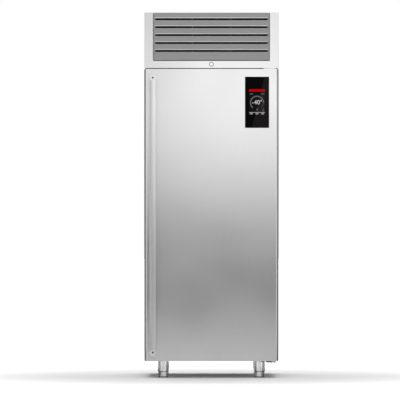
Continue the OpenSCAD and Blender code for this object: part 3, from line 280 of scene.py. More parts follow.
def smoked(name, left, right):
    """Control glass, back-printed in black: deep and even, with hardly any gloss towards the front. A paler
    wedge to the right of a slanting line is a painted reflection."""
    gloss = {"Roughness": 0.12, "IOR": 1.5, "Specular IOR Level": 0.02}
    material, tree, shader, where = surface(name, **gloss)
    foot, head = Vector((across(253), 0, above(123))), Vector((across(264.4), 0, above(77)))
    normal = (head - foot).cross(Vector((0, 1, 0))).normalized()
    normal = normal if normal.x > 0 else -normal
    shifted = add_node(tree, "ShaderNodeVectorMath", {0: where, 1: foot}, operation="SUBTRACT")
    past = add_node(
        tree, "ShaderNodeVectorMath", {0: shifted.outputs["Vector"], 1: normal}, operation="DOT_PRODUCT"
    ).outputs["Value"]
    # Noise that varies the strength of the painted reflection across the wedge
    dust = add_node(tree, "ShaderNodeTexNoise", {"Vector": where, "Scale": 60.0}).outputs["Fac"]
    haze = add_node(tree, "ShaderNodeMapRange", {"Value": dust, "To Min": 0.8, "To Max": 1.2})
    ends = {"From Min": -2 * MM, "From Max": 2 * MM, "To Max": haze.outputs["Result"]}
    edge = add_node(tree, "ShaderNodeMapRange", {"Value": past, **ends}).outputs["Result"]
    tone = add_node(
        tree, "ShaderNodeMix", {"Factor": edge, "A": rgba(left), "B": rgba(right)}, data_type="RGBA"
    )
    tree.links.new(tone.outputs["Result"], shader.inputs["Base Color"])
    return material


def lit(name, colour):
    """Backlit print behind the glass: even light with a faint fall in brightness across it."""
    material, tree, shader, where = surface(
        name, **{"Roughness": 0.6, "Emission Strength": 1.0, "Specular IOR Level": 0.0}
    )
    patch = add_node(tree, "ShaderNodeTexNoise", {"Vector": where, "Scale": 1 / (11 * MM)}).outputs["Fac"]
    light = add_node(
        tree,
        "ShaderNodeMix",
        {"Factor": patch, "A": rgba([c * 0.88 for c in colour]), "B": rgba([c * 1.06 for c in colour])},
        data_type="RGBA",
    )
    tree.links.new(light.outputs["Result"], shader.inputs["Emission Color"])
    shader.inputs["Base Color"].default_value = rgba([0.0, 0.0, 0.0])
    return material


def circuit(name):
    """Glass-fibre board with green solder mask: semi-gloss, with darker tracks 5 mm apart under it."""
    gloss = {"Coat Weight": 0.4, "Coat Roughness": 0.2, "Roughness": 0.5}
    material, tree, shader, where = surface(name, **gloss)
    tracks = add_node(
        tree,
        "ShaderNodeTexBrick",
        {
            "Vector": where,
            "Scale": 0.5 / (5 * MM),
            "Mortar Size": 0.03,
            "Color1": rgba("#1d5a2c"),
            "Color2": rgba("#23683a"),
            "Mortar": rgba("#123d1d"),
        },
    )
    tree.links.new(tracks.outputs["Color"], shader.inputs["Base Color"])
    return material


class ChillerFinishes:
    """Every finish of the machine, made once by the finishes operator."""

    made = {}


def finish_of(name):
    return ChillerFinishes.made[name]


def metals(steel):
    """The bare metals. Grain of 1.5 mm on sheet is coarser than the real brush lines, so that it shows."""
    dark = [c * 0.93 for c in steel]
    satin = [c * 0.9 for c in steel]
    return {
        # Stainless sheet, brushed: long fine lines, a soft wide gloss, faint clouds where it was wiped
        "brushed_upright": grained(
            "stainless_steel_brushed_upright", (dark, steel),
            (0.30, 0.36), 1.5, 0.02, (1, 1, 0.01), Metallic=1.0,
        ),
        "brushed_level": grained(
            "stainless_steel_brushed_level", (dark, steel),
            (0.28, 0.34), 1.5, 0.02, (0.01, 1, 1), Metallic=1.0,
        ),
        # Stainless sheet, pickled: the duller lining of the chamber
        "brushed_inside": grained(
            "stainless_steel_satin_inside", (satin, steel),
            (0.26, 0.36), 1.5, 0.02, (1, 1, 0.02), Metallic=1.0,
        ),
        # Stainless bar, satin ground: a wider gloss than the sheet, ground across its length
        "satin_bar": grained(
            "stainless_steel_satin_bar", (dark, steel),
            (0.36, 0.42), 1.2, 0.02, (0.05, 0.05, 1), 120, Metallic=1.0,
        ),
        # Stainless tube and wire, polished: a clear gloss with finger smears 35 mm across
        "polished_steel": grained(
            "stainless_steel_polished", (dark, steel), (0.12, 0.20), 35, 0.01, cloud=35, Metallic=1.0
        ),
        # Aluminium, rolled thin: pale, soft gloss
        "fin_aluminium": grained(
            "aluminium_rolled", ("#bfc3c6", "#d3d6d8"), (0.28, 0.4), 8, 0.02, cloud=60, Metallic=1.0
        ),
        # Copper tube, drawn: clear gloss with soft brown patches 60 mm apart where it has begun to tarnish
        "copper": grained(
            "copper_drawn", ("#8e5636", "#c47a4c"), (0.2, 0.35), 60, 0.02, cloud=60, Metallic=1.0
        ),
        # Brass, turned: yellow, a little duller in patches
        "brass": grained(
            "brass_turned", ("#a8863c", "#cfae5c"), (0.22, 0.38), 40, 0.02, cloud=40, Metallic=1.0
        ),
        "galvanised": zinc("galvanised_steel"),
    }


def coats_and_plastics():
    """Paint, enamel, plastic and rubber, each with its own grain."""
    grille = list(colours().grille)
    shade = [c * 0.94 for c in grille]
    clear = {"Coat Weight": 0.5, "Coat Roughness": 0.1}
    return {
        # Powder coat: mid grey, even, with orange peel 2 mm across
        "grille_grey": grained("powder_coat_grey", (shade, grille), (0.45, 0.55), 2, 0.04),
        # Powder coat, paler than the grille and even, on the louvres' rolled edges: a painted highlight where
        # they catch the light
        "grille_painted_highlight": grained("powder_coat_painted_highlight", ("#cfcfd0", "#dadadb"), (0.42, 0.5), 2, 0.03),
        # Steel, blasted: mid grey, matt, fine grain
        "blasted_steel": grained("steel_blasted_grey", ("#8f9090", "#9c9d9d"), (0.5, 0.6), 1.5, 0.05),
        # Steel, chemically blackened: dark, half matt
        "blackened_steel": grained("steel_blackened", ("#242526", "#303132"), (0.4, 0.52), 2, 0.03),
        # Stove enamel: deep black under a clear even gloss
        "black_enamel": grained("enamel_black", ("#0e0f10", "#131415"), (0.3, 0.42), 3, 0.05, **clear),
        # PVC, extruded: mid grey, half matt, drawn lines along it
        "frame_plastic": grained(
            "pvc_extruded_grey", ("#646668", "#727476"), (0.45, 0.56), 1.5, 0.05, (1, 1, 0.1)
        ),
        # EPDM rubber, moulded: black and matt with a fine bloom
        "black_rubber": grained("rubber_epdm_black", ("#101010", "#191919"), (0.66, 0.8), 1.2, 0.06),
        # Nylon, moulded: black with a fine spark-eroded grain
        "black_plastic": grained("nylon_moulded_black", ("#141516", "#1c1d1e"), (0.4, 0.52), 1.5, 0.05),
        # Acetal, turned: grey, smooth, slightly waxy
        "bush_plastic": grained("acetal_turned_grey", ("#4e5153", "#5c5f61"), (0.32, 0.42), 1.0, 0.02),
    }


NODE_FINISHES = {
    "brushed_upright": ["side_panel_left", "side_panel_right", "back_panel", "hood_back", "door_outer_skin"],
    "brushed_level": [
        "front_frame", "hood_top", "top_hinge_bracket", "hood_rail", "control_box", "control_box_lid",
    ],
    "brushed_inside": ["chamber_liner", "evaporator_cover", "tray_rack_left", "tray_rack_right"],
    "satin_bar": ["handle_bar"],
    "galvanised": ["bottom_panel", "deck_panel", "fan_shroud"],
    "grille_grey": ["louvre_grille"],
    "foam": ["foam_insulation", "door_foam"],
    "frame_plastic": ["door_frame"],
    "polished_steel": [
        "leg_sleeves", "handle_posts", "lock_barrel", "foot_front_left", "foot_front_right",
        "foot_back_left", "foot_back_right", "drain_plug", "drain_spigot", "fan_guards",
    ],
    "blackened_steel": ["bottom_hinge_bracket", "casing_screws", "handle_screws"],
    "fin_aluminium": ["condenser_fan"],
    "copper": ["evaporator_tubes", "condenser_tubes", "refrigerant_pipes", "filter_drier"],
    "black_enamel": ["evaporator_motors", "condenser_motor", "compressor", "liquid_receiver"],
    "black_rubber": ["compressor_mounts"],
    "brass": ["expansion_valve"],
    "circuit_board": ["power_board"],
    "black_plastic": [
        "mains_gland", "display_module",
        "evaporator_fan_top", "evaporator_fan_middle", "evaporator_fan_bottom",
    ],
    "black_glass_painted_reflection": ["display_glass"],
    "bush_plastic": ["hinge_bushes"],
    "filter_mesh": ["air_filter"],
}


class CHILLER_OT_finishes(bpy.types.Operator):
    """Makes every material and puts it on the machine's solid parts"""

    bl_idname = "chiller.finishes"
    bl_label = "Finishes"

    def execute(self, context):
        glass, smoke = list(colours().glass), list(colours().smoke)
        ChillerFinishes.made = {
            **metals(list(colours().steel)),
            **coats_and_plastics(),
            "foam": foam("polyurethane_foam"),
            "black_glass_painted_reflection": smoked("control_glass_black", glass, smoke),
            # The screen's glass carries the same painted reflection on its right
            "screen_glass": smoked("control_glass_screen", linear("#121112"), linear("#262324")),
            "filter_mesh": mesh_filter("nylon_filter_mesh_black"),
            "circuit_board": circuit("glass_fibre_board_green"),
            "white_mark": lit("backlit_print_white", linear("#d8d8d8")),
            "pale_mark": lit("backlit_print_pale", linear("#8f9496")),
            "grey_mark": lit("backlit_print_grey", linear("#6a6868")),
            "dim_mark": lit("backlit_print_dim", linear("#3c3a3a")),
            "red_mark": lit("backlit_print_red", list(colours().alarm)),
        }
        for finish, nodes in NODE_FINISHES.items():
            for node in nodes:
                mesh = frame["nodes"][node].data
                mesh.materials.clear()
                mesh.materials.append(finish_of(finish))
        return {"FINISHED"}


# Modelling

BEVEL_FROM = 0.6  # radians between two faces, from which their edge is rounded
SHARP_FROM = math.radians(35)  # the same, from which it is shaded as a corner


def block(bm, low, high):
    """Adds a box between two corners."""
    low, high = Vector(low), Vector(high)
    place = Matrix.Translation((low + high) / 2) @ Matrix.Diagonal((*(high - low), 1))
    return bmesh.ops.create_cube(bm, size=1, matrix=place)["verts"]


def turned_to(axis):
    """A turn that points Z along the axis."""
    return Vector((0, 0, 1)).rotation_difference(Vector(axis)).to_matrix().to_4x4()


def lathe(bm, start, axis, profile, segments=48):
    """Spins a profile of (radius, height) points about an axis through start. Off the axis it closes on
    itself."""
    place = Matrix.Translation(Vector(start)) @ turned_to(axis)
    corners = [bm.verts.new(place @ Vector((radius, 0, height))) for radius, height in profile]
    pairs = list(zip(corners, corners[1:]))
    if all(radius > 0 for radius, height in profile):
        pairs.append((corners[-1], corners[0]))
    edges = [bm.edges.new(pair) for pair in pairs]
    bmesh.ops.spin(
        bm,
        geom=corners + edges,
        cent=place.translation,
        axis=place.to_3x3() @ Vector((0, 0, 1)),
        angle=math.tau,
        steps=segments,
        use_merge=True,
    )


def framed(bm, low, high, profile, closed=True):
    """Joins upright rectangles between two corners, each set in from the rim and placed along Y by a
    (set in, y) point of the profile. The first and last are filled where the profile isn't closed."""
    rings = []
    for inset, y in profile:
        left, right, foot, head = low.x + inset, high.x - inset, low.z + inset, high.z - inset
        corners = ((left, foot), (right, foot), (right, head), (left, head))
        rings.append([bm.verts.new((x, y, z)) for x, z in corners])
    pairs = list(zip(rings, rings[1:]))
    if closed:
        pairs.append((rings[-1], rings[0]))
    else:
        bm.faces.new(rings[0])
        bm.faces.new(rings[-1])
    for first, second in pairs:
        for i in range(4):
            bm.faces.new((first[i - 1], first[i], second[i], second[i - 1]))


def finished(name, bm, body, finish, bevel=0.0, segments=2, smooth=True):
    """Turns the mesh into a piece that rides on a body, with its finish and its edges rounded."""
    bmesh.ops.remove_doubles(bm, verts=bm.verts, dist=1e-6)
    if bevel:
        sharp = [e for e in bm.edges if len(e.link_faces) == 2 and e.calc_face_angle(0) > BEVEL_FROM]
        bmesh.ops.bevel(
            bm,
            geom=sharp,
            offset=bevel,
            affect="EDGES",
            segments=segments,
            profile=0.5,
            material=-1,
            clamp_overlap=True,
        )
    bmesh.ops.recalc_face_normals(bm, faces=bm.faces)
    mesh = bpy.data.meshes.new(name)
    bm.to_mesh(mesh)
    bm.free()
    piece = bpy.data.objects.new(name, mesh)
    bpy.context.scene.collection.objects.link(piece)
    mesh.materials.append(finish_of(finish))
    if smooth:
        mesh.shade_smooth()
        mesh.set_sharp_from_angle(angle=SHARP_FROM)
    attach(piece, body)
    return piece


def islands(node):
    """The lowest and highest corner of each separate solid in a node."""
    bm = bmesh.new()
    bm.from_mesh(frame["nodes"][node].data)
    bmesh.ops.remove_doubles(bm, verts=bm.verts, dist=1e-5)
    left, found = set(bm.verts), []
    while left:
        edge = {left.pop()}
        solid = set(edge)
        while edge:
            edge = {e.other_vert(v) for v in edge for e in v.link_edges} - solid
            solid |= edge
        left -= solid
        found.append([Vector([pick(v.co[i] for v in solid) for i in range(3)]) for pick in (min, max)])
    bm.free()
    return found


# Display


def ring_mark(bm, centre, y, radius, width, start, end, depth, steps=40):
    """Adds part of a flat ring on the glass, from one angle to another, in degrees from the right."""
    turn = Matrix.Rotation(-math.radians(start), 4, "Y")
    inner, outer = radius - width / 2, radius + width / 2
    rim = [(inner, 0), (outer, 0), (outer, -depth), (inner, -depth)]
    middle = Vector((centre[0], y, centre[1]))
    face = bm.faces.new([bm.verts.new(middle + turn @ Vector((r, d, 0))) for r, d in rim])
    sweep = math.radians(end - start)
    bmesh.ops.spin(bm, geom=[face], cent=middle, axis=(0, -1, 0), angle=sweep, steps=steps)


def bar_mark(bm, left, right, top, bottom, y, depth):
    """Adds a flat bar on the glass, given in pixels of the photograph."""
    block(bm, (across(left), y - depth, above(bottom)), (across(right), y, above(top)))


class CHILLER_OT_display(bpy.types.Operator):
    """Draws the lit marks on the control glass: a red bar, a dial, a number and plain symbols"""

    bl_idname = "chiller.display"
    bl_label = "Display"

    def execute(self, context):
        depth = sizes().mark_height
        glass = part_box("display_glass")[0].y
        screen = bmesh.new()
        bar_mark(screen, 249.0, 265.0, 89.0, 115.0, glass, depth / 2)
        finished("display_screen", screen, "door", "screen_glass", smooth=False)
        face = glass - depth / 2

        red = bmesh.new()
        bar_mark(red, 249.2, 264.8, 89.4, 91.5, face, depth)
        finished("display_red_bar", red, "door", "red_mark", depth / 3, 1, smooth=False)

        centre = (across(257.0), above(102.7))
        for name, finish, start, end in (
            ("display_dial", "grey_mark", 0, 231),
            ("display_dial_rest", "dim_mark", -49, -1),
        ):
            ring = bmesh.new()
            ring_mark(ring, centre, face, 6.5 * PIXEL, 1.1 * PIXEL, start, end, depth)
            finished(name, ring, "door", finish, smooth=False)

        marks = bmesh.new()
        for left, right in ((249.9, 253.0), (261.4, 264.4)):
            bar_mark(marks, left, right, 93.5, 94.3, face, depth)
        star = Matrix.Translation((across(257.2), face, above(109.5)))
        for turn in (0, 60, 120):
            verts = block(marks, (-1.1 * PIXEL, -depth, -0.16 * PIXEL), (1.1 * PIXEL, 0, 0.16 * PIXEL))
            bmesh.ops.transform(marks, matrix=star @ Matrix.Rotation(math.radians(turn), 4, "Y"), verts=verts)
        bulb, wall = 0.85 * PIXEL, 0.35 * PIXEL
        rim = [(bulb - wall, 0), (bulb, 0), (bulb, depth), (bulb - wall, depth)]
        lathe(marks, (across(263.2), face, above(110.4)), (0, -1, 0), rim, 20)
        bar_mark(marks, 263.0, 263.4, 108.3, 109.8, face, depth)
        finished("display_symbols", marks, "door", "grey_mark", smooth=False)

        keys = bmesh.new()
        bar_mark(keys, 249.1, 264.9, 112.1, 112.8, face, depth)
        for middle in (251.3, 257.0, 262.6):
            bar_mark(keys, middle - 1.3, middle + 1.3, 112.8, 114.4, face, depth)
        finished("display_touch_keys", keys, "door", "pale_mark", depth / 3, 1, smooth=False)
        self.number(context, face, depth)
        return {"FINISHED"}

    def number(self, context, face, depth):
        """The chamber's temperature, in plain figures."""
        words = bpy.data.curves.new("display_number", "FONT")
        words.body = "-40°"
        words.size = 6.0 * PIXEL
        words.align_x = words.align_y = "CENTER"
        words.extrude = depth / 2
        flat = bpy.data.objects.new("display_number", words)
        context.scene.collection.objects.link(flat)
        mesh = bpy.data.meshes.new_from_object(flat.evaluated_get(context.evaluated_depsgraph_get()))
        bpy.data.objects.remove(flat)
        figures = bmesh.new()
        figures.from_mesh(mesh)
        place = Matrix.Translation((across(257.2), face - depth / 2, above(102.5)))
        place @= Matrix.Rotation(math.radians(90), 4, "X")
        bmesh.ops.transform(figures, matrix=place, verts=figures.verts)
        finished("display_number", figures, "door", "white_mark", smooth=False)


# Door

GASKET_WIDTH = 24 * MM


class CHILLER_OT_door(bpy.types.Operator):
    """Models the door's pressed inner skin and its bellows gasket"""

    bl_idname = "chiller.door"
    bl_label = "Door skin and gasket"

    def execute(self, context):
        low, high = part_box("door_inner_skin")
        gasket_low, gasket_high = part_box("door_gasket")
        rim = gasket_low.x - low.x
        raised = high.y + sizes().skin_relief
        margin = rim + GASKET_WIDTH + 18 * MM
        skin = bmesh.new()
        # A slope up to the pressed panel, and a groove in it
        groove, depth = margin + 60 * MM, 2 * MM
        profile = [(0, low.y), (0, high.y), (margin, high.y), (margin + 8 * MM, raised), (groove, raised)]
        profile += [(groove + 4 * MM, raised - depth), (groove + 12 * MM, raised - depth)]
        framed(skin, low, high, profile + [(groove + 16 * MM, raised)], closed=False)
        name, finish = "door_inner_skin_pressed", "brushed_inside"
        piece = finished(name, skin, "door", finish, 0.4 * MM, 2)
        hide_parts("door_inner_skin")

        # A foot that grips the skin, two folds of bellows and a flat magnet sleeve against the cabinet
        back, front, wide = gasket_high.y, gasket_low.y, GASKET_WIDTH
        depth = back - front
        outside = [(4, 0.0), (4, 0.15), (1, 0.3), (3.5, 0.45), (0.5, 0.6), (0, 0.72), (0, 0.95), (1, 1.0)]
        half = [(inset * MM, front + share * depth) for inset, share in outside]
        seal = bmesh.new()
        framed(seal, gasket_low, gasket_high, half + [(wide - inset, y) for inset, y in reversed(half)])
        piece = finished("door_gasket_bellows", seal, "door", "black_rubber")
        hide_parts("door_gasket")
        return {"FINISHED"}


# Strips of painted shade, and the louvres' painted highlight

# The louvres: how many, the drop to the first rolled edge, their pitch and how far they are set in
LOUVRES, LOUVRE_DROP, LOUVRE_PITCH, LOUVRE_IN = 5, 29.5 * MM, 46 * MM, 9 * MM


class CHILLER_OT_trims(bpy.types.Operator):
    """Models black strips of painted shade beside the door, in the handle and under the grille, and the
    rolled louvres with their painted highlight
    """

    bl_idname = "chiller.trims"
    bl_label = "Painted light"

    def execute(self, context):
        self.edge_trim()
        self.handle_edging()
        self.louvre_edges()
        self.grille_seal()
        return {"FINISHED"}

    def edge_trim(self):
        """A black strip on the cabinet's front beside each door edge: painted shade of the gap there, which
        shows as a dark line on both sides of the door.
        """
        door_low, door_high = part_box("door_outer_skin")
        half = -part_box("side_panel_left")[0].x
        front, width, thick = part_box("door_frame")[0].y, 5 * MM, 1.2 * MM
        trim = bmesh.new()
        for side in (-1, 1):
            edges = sorted((side * half, side * (half - width)))
            block(trim, (edges[0], front - thick, door_low.z), (edges[1], front, door_high.z))
        finished("cabinet_edge_painted_shade", trim, "cabinet", "black_rubber", 0.3 * MM, 1)

    def handle_edging(self):
        """A black strip let into the left flank of the grip bar: painted shade along that edge."""
        low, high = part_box("handle_bar")
        edging = bmesh.new()
        short = 4 * MM
        outline = ((0, 12), (0, 4.6), (0.7, 3.2), (6.2, 0.75), (6.2, 12))
        corners = [edging.verts.new((low.x + x * MM, low.y + y * MM, low.z + short)) for x, y in outline]
        face = edging.faces.new(corners)
        grown = bmesh.ops.extrude_face_region(edging, geom=[face])["geom"]
        top = [part for part in grown if isinstance(part, bmesh.types.BMVert)]
        bmesh.ops.translate(edging, vec=(0, 0, high.z - low.z - 2 * short), verts=top)
        finished("handle_bar_painted_shade", edging, "door", "black_rubber", 0.3 * MM, 2)

    def louvre_edges(self):
        """The rolled lower edge of the lip over each slot, in paint paler than the grille: a painted
        highlight.
        """
        low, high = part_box("louvre_grille")
        edges = bmesh.new()
        radius, length = 2.2 * MM, high.x - low.x - 2 * LOUVRE_IN
        for i in range(LOUVRES):
            z = high.z - LOUVRE_DROP - i * LOUVRE_PITCH
            start = Vector((low.x + LOUVRE_IN, low.y + 1.6 * MM, z))
            lathe(edges, start, (1, 0, 0), [(0, 0), (radius, 0), (radius, length), (0, length)], 20)
        finished("louvre_edges", edges, "front_panel", "grille_painted_highlight")

    def grille_seal(self):
        """A black rubber strip over the grille's lower edge: painted shade of the gap between the grille and
        the frame.
        """
        low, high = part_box("louvre_grille")
        seal = bmesh.new()
        under, front, back = 1 * MM, low.y + 2.6 * MM, high.y + 8 * MM
        # A black strip that paints the shade of the gap under the grille
        block(seal, (low.x + under, front, low.z - under), (high.x - under, back, low.z + 3 * MM))
        finished("grille_seal", seal, "front_panel", "black_rubber", 1 * MM, 2)


# Feet and hinge


class CHILLER_OT_feet(bpy.types.Operator):
    """Makes the pad and the dust seal of each levelling foot, and the collar of the bottom hinge"""

    bl_idname = "chiller.feet"
    bl_label = "Feet and hinge collar"

    def execute(self, context):
        sleeve_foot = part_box("leg_sleeves")[0].z
        for foot in ("foot_front_left", "foot_front_right", "foot_back_left", "foot_back_right"):
            low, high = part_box(foot)
            middle, radius, height = (low + high) / 2, (high.x - low.x) / 2, sizes().pad_height
            rim = radius + 0.6 * MM
            pad = bmesh.new()
            profile = [(0, 0), (rim - 1 * MM, 0), (rim, 1 * MM), (rim, height)]
            profile += [(radius - 2 * MM, height), (0, height)]
            lathe(pad, (middle.x, middle.y, 0), (0, 0, 1), profile)
            finished(foot + "_pad", pad, foot, "black_rubber")
            seal = bmesh.new()
            top = sleeve_foot - 0.5 * MM
            profile = [(radius - 1 * MM, top - 3 * MM), (radius + 1 * MM, top - 3 * MM)]
            profile += [(radius + 2 * MM, top), (radius - 1 * MM, top)]
            lathe(seal, (middle.x, middle.y, 0), (0, 0, 1), profile)
            finished(foot + "_seal", seal, foot, "black_rubber")
        self.collar()
        return {"FINISHED"}

    def collar(self):
        """A bright collar on the boss around the bottom hinge pin."""
        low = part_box("bottom_hinge_bracket")[0].z
        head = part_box("door_outer_skin")[0].z - 2 * MM
        axis = next(Vector(joint["pos_m"]) for joint in frame["joints"] if joint["name"] == "door_hinge")
        inner, outer, round_off = 12.1 * MM, 13.2 * MM, 0.6 * MM
        profile = [(inner, low), (outer - round_off, low), (outer, low + round_off)]
        profile += [(outer, head - round_off), (outer - round_off, head), (inner, head)]
        bm = bmesh.new()
        lathe(bm, (axis.x, axis.y, 0), (0, 0, 1), profile)
        finished("bottom_hinge_collar", bm, "cabinet", "polished_steel")


# Machine compartment and casing


def fin_pack(bm, low, high, along, thickness=0.35 * MM, end=1.5 * MM):
    """Adds a coil's fins between two corners, stacked along an axis, and an end plate above and below."""
    count = int((high[along] - low[along] - end) / sizes().fin_pitch)
    step = (high[along] - low[along] - thickness) / count
    for i in range(count + 1):
        near, far = low.copy(), high.copy()
        near.z, far.z = low.z + end, high.z - end
        near[along] = low[along] + i * step
        far[along] = near[along] + thickness
        block(bm, near, far)
    for floor in (low.z, high.z - end):
        block(bm, (low.x, low.y, floor), (high.x, high.y, floor + end))


class CHILLER_OT_machinery(bpy.types.Operator):
    """Models the coils' fins, the air filter's frame, the compressor's seam and the lock's ring"""

    bl_idname = "chiller.machinery"
    bl_label = "Machine compartment"

    def execute(self, context):
        for node, along in (("condenser_fins", 0), ("evaporator_fins", 1)):
            fins = bmesh.new()
            fin_pack(fins, *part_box(node), along)
            piece = finished(node + "_pack", fins, "cabinet", "fin_aluminium", smooth=False)
            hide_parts(node)
        self.filter_frame()
        self.compressor()
        self.lock_ring()
        return {"FINISHED"}

    def filter_frame(self):
        """A channel round the filter mesh, and two ribs across it."""
        low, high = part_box("air_filter")
        out, wide = 0.4 * MM, 12 * MM
        rim = bmesh.new()
        profile = [(-out, low.y - out), (-out, high.y + out), (wide, high.y + out), (wide, high.y)]
        profile += [(0, high.y), (0, low.y), (wide, low.y), (wide, low.y - out)]
        framed(rim, low, high, profile)
        for share in (1 / 3, 2 / 3):
            x = low.x + share * (high.x - low.x)
            block(rim, (x - 4 * MM, low.y - 2 * MM, low.z + 2 * MM), (x + 4 * MM, low.y, high.z - 2 * MM))
        finished("air_filter_frame", rim, "front_panel", "black_plastic", smooth=False)

    def compressor(self):
        """The weld seam round the compressor's shell."""
        low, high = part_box("compressor")
        middle, radius = (low + high) / 2, min(high.x - low.x, high.y - low.y) / 2
        seam = bmesh.new()
        profile = [(radius - 1 * MM, -2.5 * MM), (radius + 1 * MM, -2 * MM), (radius + 1.8 * MM, 0)]
        profile += [(radius + 1 * MM, 2 * MM), (radius - 1 * MM, 2.5 * MM)]
        lathe(seam, middle, (0, 0, 1), profile, 64)
        finished("compressor_weld_seam", seam, "cabinet", "black_enamel")

    def lock_ring(self):
        """The raised ring round the lock's head."""
        low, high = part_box("lock_barrel")
        middle = Vector((0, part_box("front_frame")[0].y, (low.z + high.z) / 2))
        ring = bmesh.new()
        inner, outer, proud = 8.6 * MM, 13.6 * MM, 3.6 * MM
        profile = [(inner, 0.4 * MM), (outer, 0.4 * MM), (outer, proud - 1.2 * MM), (outer - 1.2 * MM, proud)]
        profile += [(inner + 0.8 * MM, proud), (inner, proud - 0.8 * MM)]
        lathe(ring, middle, (0, -1, 0), profile)
        finished("lock_ring", ring, "lock", "blasted_steel")


class CHILLER_OT_casing(bpy.types.Operator):
    """Models the domed heads of the casing screws and the ribs of the cable gland"""

    bl_idname = "chiller.casing"
    bl_label = "Screw heads and gland"

    def execute(self, context):
        heads = bmesh.new()
        for low, high in islands("casing_screws"):
            middle = (low + high) / 2
            upright = high.z - low.z > high.y - low.y
            axis = Vector((0, 0, 1)) if upright else Vector((0, 1, 0))
            far = Vector((middle.x, middle.y, high.z)) if upright else Vector((middle.x, high.y, middle.z))
            radius = (high.x - low.x) / 2
            rim, crown = radius + 0.6 * MM, 1.55 * MM
            start = far - axis * 1.6 * MM
            profile = [(0, 0), (rim, 0), (rim, 0.4 * MM), (radius * 0.8, 1.2 * MM)]
            lathe(heads, start, axis, profile + [(radius * 0.3, crown), (0, crown)], 16)
        finished("casing_screw_heads", heads, "cabinet", "blackened_steel")
        low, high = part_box("mains_gland")
        middle, radius = (low + high) / 2, (high.x - low.x) / 2
        ribs, count = bmesh.new(), 18
        centre = Matrix.Translation((middle.x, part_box("hood_back")[1].y, middle.z))
        for i in range(count):
            verts = block(ribs, (-1.2 * MM, 1 * MM, radius - 1.5 * MM), (1.2 * MM, 6 * MM, radius + 0.6 * MM))
            turn = Matrix.Rotation(math.tau * i / count, 4, "Y")
            bmesh.ops.transform(ribs, matrix=centre @ turn, verts=verts)
        finished("mains_gland_ribs", ribs, "cabinet", "black_plastic", 0.4 * MM, 1)
        return {"FINISHED"}


# Studio

# How bright the front softbox shows at each height above the floor, in metres
FRONT_GLOW = (
    (0.0, 0.88), (0.116, 0.78), (0.186, 0.38), (0.25, 0.215), (0.325, 0.178), (0.464, 0.186), (0.6, 0.185),
    (0.742, 0.258), (0.882, 0.46), (1.02, 0.77), (1.16, 1.09), (1.3, 1.26), (1.438, 1.33), (1.508, 1.41),
    (1.65, 1.52), (1.786, 1.56), (1.9, 1.46), (2.1, 1.2), (2.3, 1.15), (3.2, 1.1),
)
# How bright the other softboxes show
SIDE_GLOW = ((0.0, 0.22), (0.2, 0.25), (0.32, 0.75), (0.8, 0.8), (1.3, 1.0), (2.2, 1.1), (3.2, 1.0))
BRIGHTEST = 1.56  # the most in either
# What the front softbox loses at each place to the right of the middle, in metres
SIDE_LOSS = (
    (-0.368, 0.36), (-0.31, 0.285), (-0.27, 0.225), (-0.21, 0.155), (-0.124, 0.06), (0.0, 0.0), (0.107, 0.0),
    (0.25, 0.03), (0.36, 0.1),
)
# The share of that loss at each height
LOSS_LEVEL = ((0.6, 0.05), (0.74, 0.4), (0.88, 0.7), (1.1, 1.0))
SOFTBOX_TOP = 3.2
SOFTBOX_HALF = 1.35
FLAG_X, FLAG_Y = (0.42, 1.34), (-1.0, 1.9)
# How far from the middle the floor begins to run out into white, and where it is white
WHITE_FROM, WHITE_BY = 0.7, 3.0
WHITE = (1, 1, 1, 1)


def cloth(name, glows, level, shaded=False):
    """Diffusion cloth of a softbox: its glow follows the height, and shaded adds the front one's fall towards
    its sides."""
    material = bpy.data.materials.new(name)
    material.use_nodes = True
    tree = material.node_tree
    tree.nodes.clear()
    where = add_node(tree, "ShaderNodeTexCoord").outputs["Object"]
    place = add_node(tree, "ShaderNodeSeparateXYZ", {"Vector": where}).outputs
    share = add_node(tree, "ShaderNodeMath", {0: place["Z"], 1: SOFTBOX_TOP}, operation="DIVIDE").outputs[0]
    stops = [(z / SOFTBOX_TOP, glow / BRIGHTEST) for z, glow in glows]
    glow = add_node(tree, "ShaderNodeValToRGB", {"Fac": share}, stops).outputs["Color"]
    strength = level * BRIGHTEST
    if shaded:
        column = {"Value": place["X"], "From Min": -SOFTBOX_HALF, "From Max": SOFTBOX_HALF}
        column = add_node(tree, "ShaderNodeMapRange", column).outputs["Result"]
        edge = SIDE_LOSS[0][1]
        stops = [(0.0, edge)] + [((x / SOFTBOX_HALF + 1) / 2, loss) for x, loss in SIDE_LOSS]
        loss = add_node(tree, "ShaderNodeValToRGB", {"Fac": column}, stops).outputs["Color"]
        stops = [(0.0, 0.05)] + [(z / SOFTBOX_TOP, part) for z, part in LOSS_LEVEL]
        part = add_node(tree, "ShaderNodeValToRGB", {"Fac": share}, stops).outputs["Color"]
        taken = add_node(tree, "ShaderNodeMath", {0: loss, 1: part}, operation="MULTIPLY").outputs[0]
        kept = add_node(tree, "ShaderNodeMath", {0: 1.0, 1: taken}, operation="SUBTRACT").outputs[0]
        strength = add_node(tree, "ShaderNodeMath", {0: kept, 1: strength}, operation="MULTIPLY").outputs[0]
    light = add_node(tree, "ShaderNodeEmission", {"Color": glow, "Strength": strength}).outputs["Emission"]
    add_node(tree, "ShaderNodeOutputMaterial", {"Surface": light})
    return material


def seen_rays(tree):
    """1 for a ray that the camera, a reflection or glass sees, and 0 for one that only lights."""
    rays = add_node(tree, "ShaderNodeLightPath").outputs
    seen = rays["Is Camera Ray"]
    for kind in ("Is Glossy Ray", "Is Transmission Ray"):
        seen = add_node(tree, "ShaderNodeMath", {0: seen, 1: rays[kind]}, operation="MAXIMUM").outputs[0]
    return seen


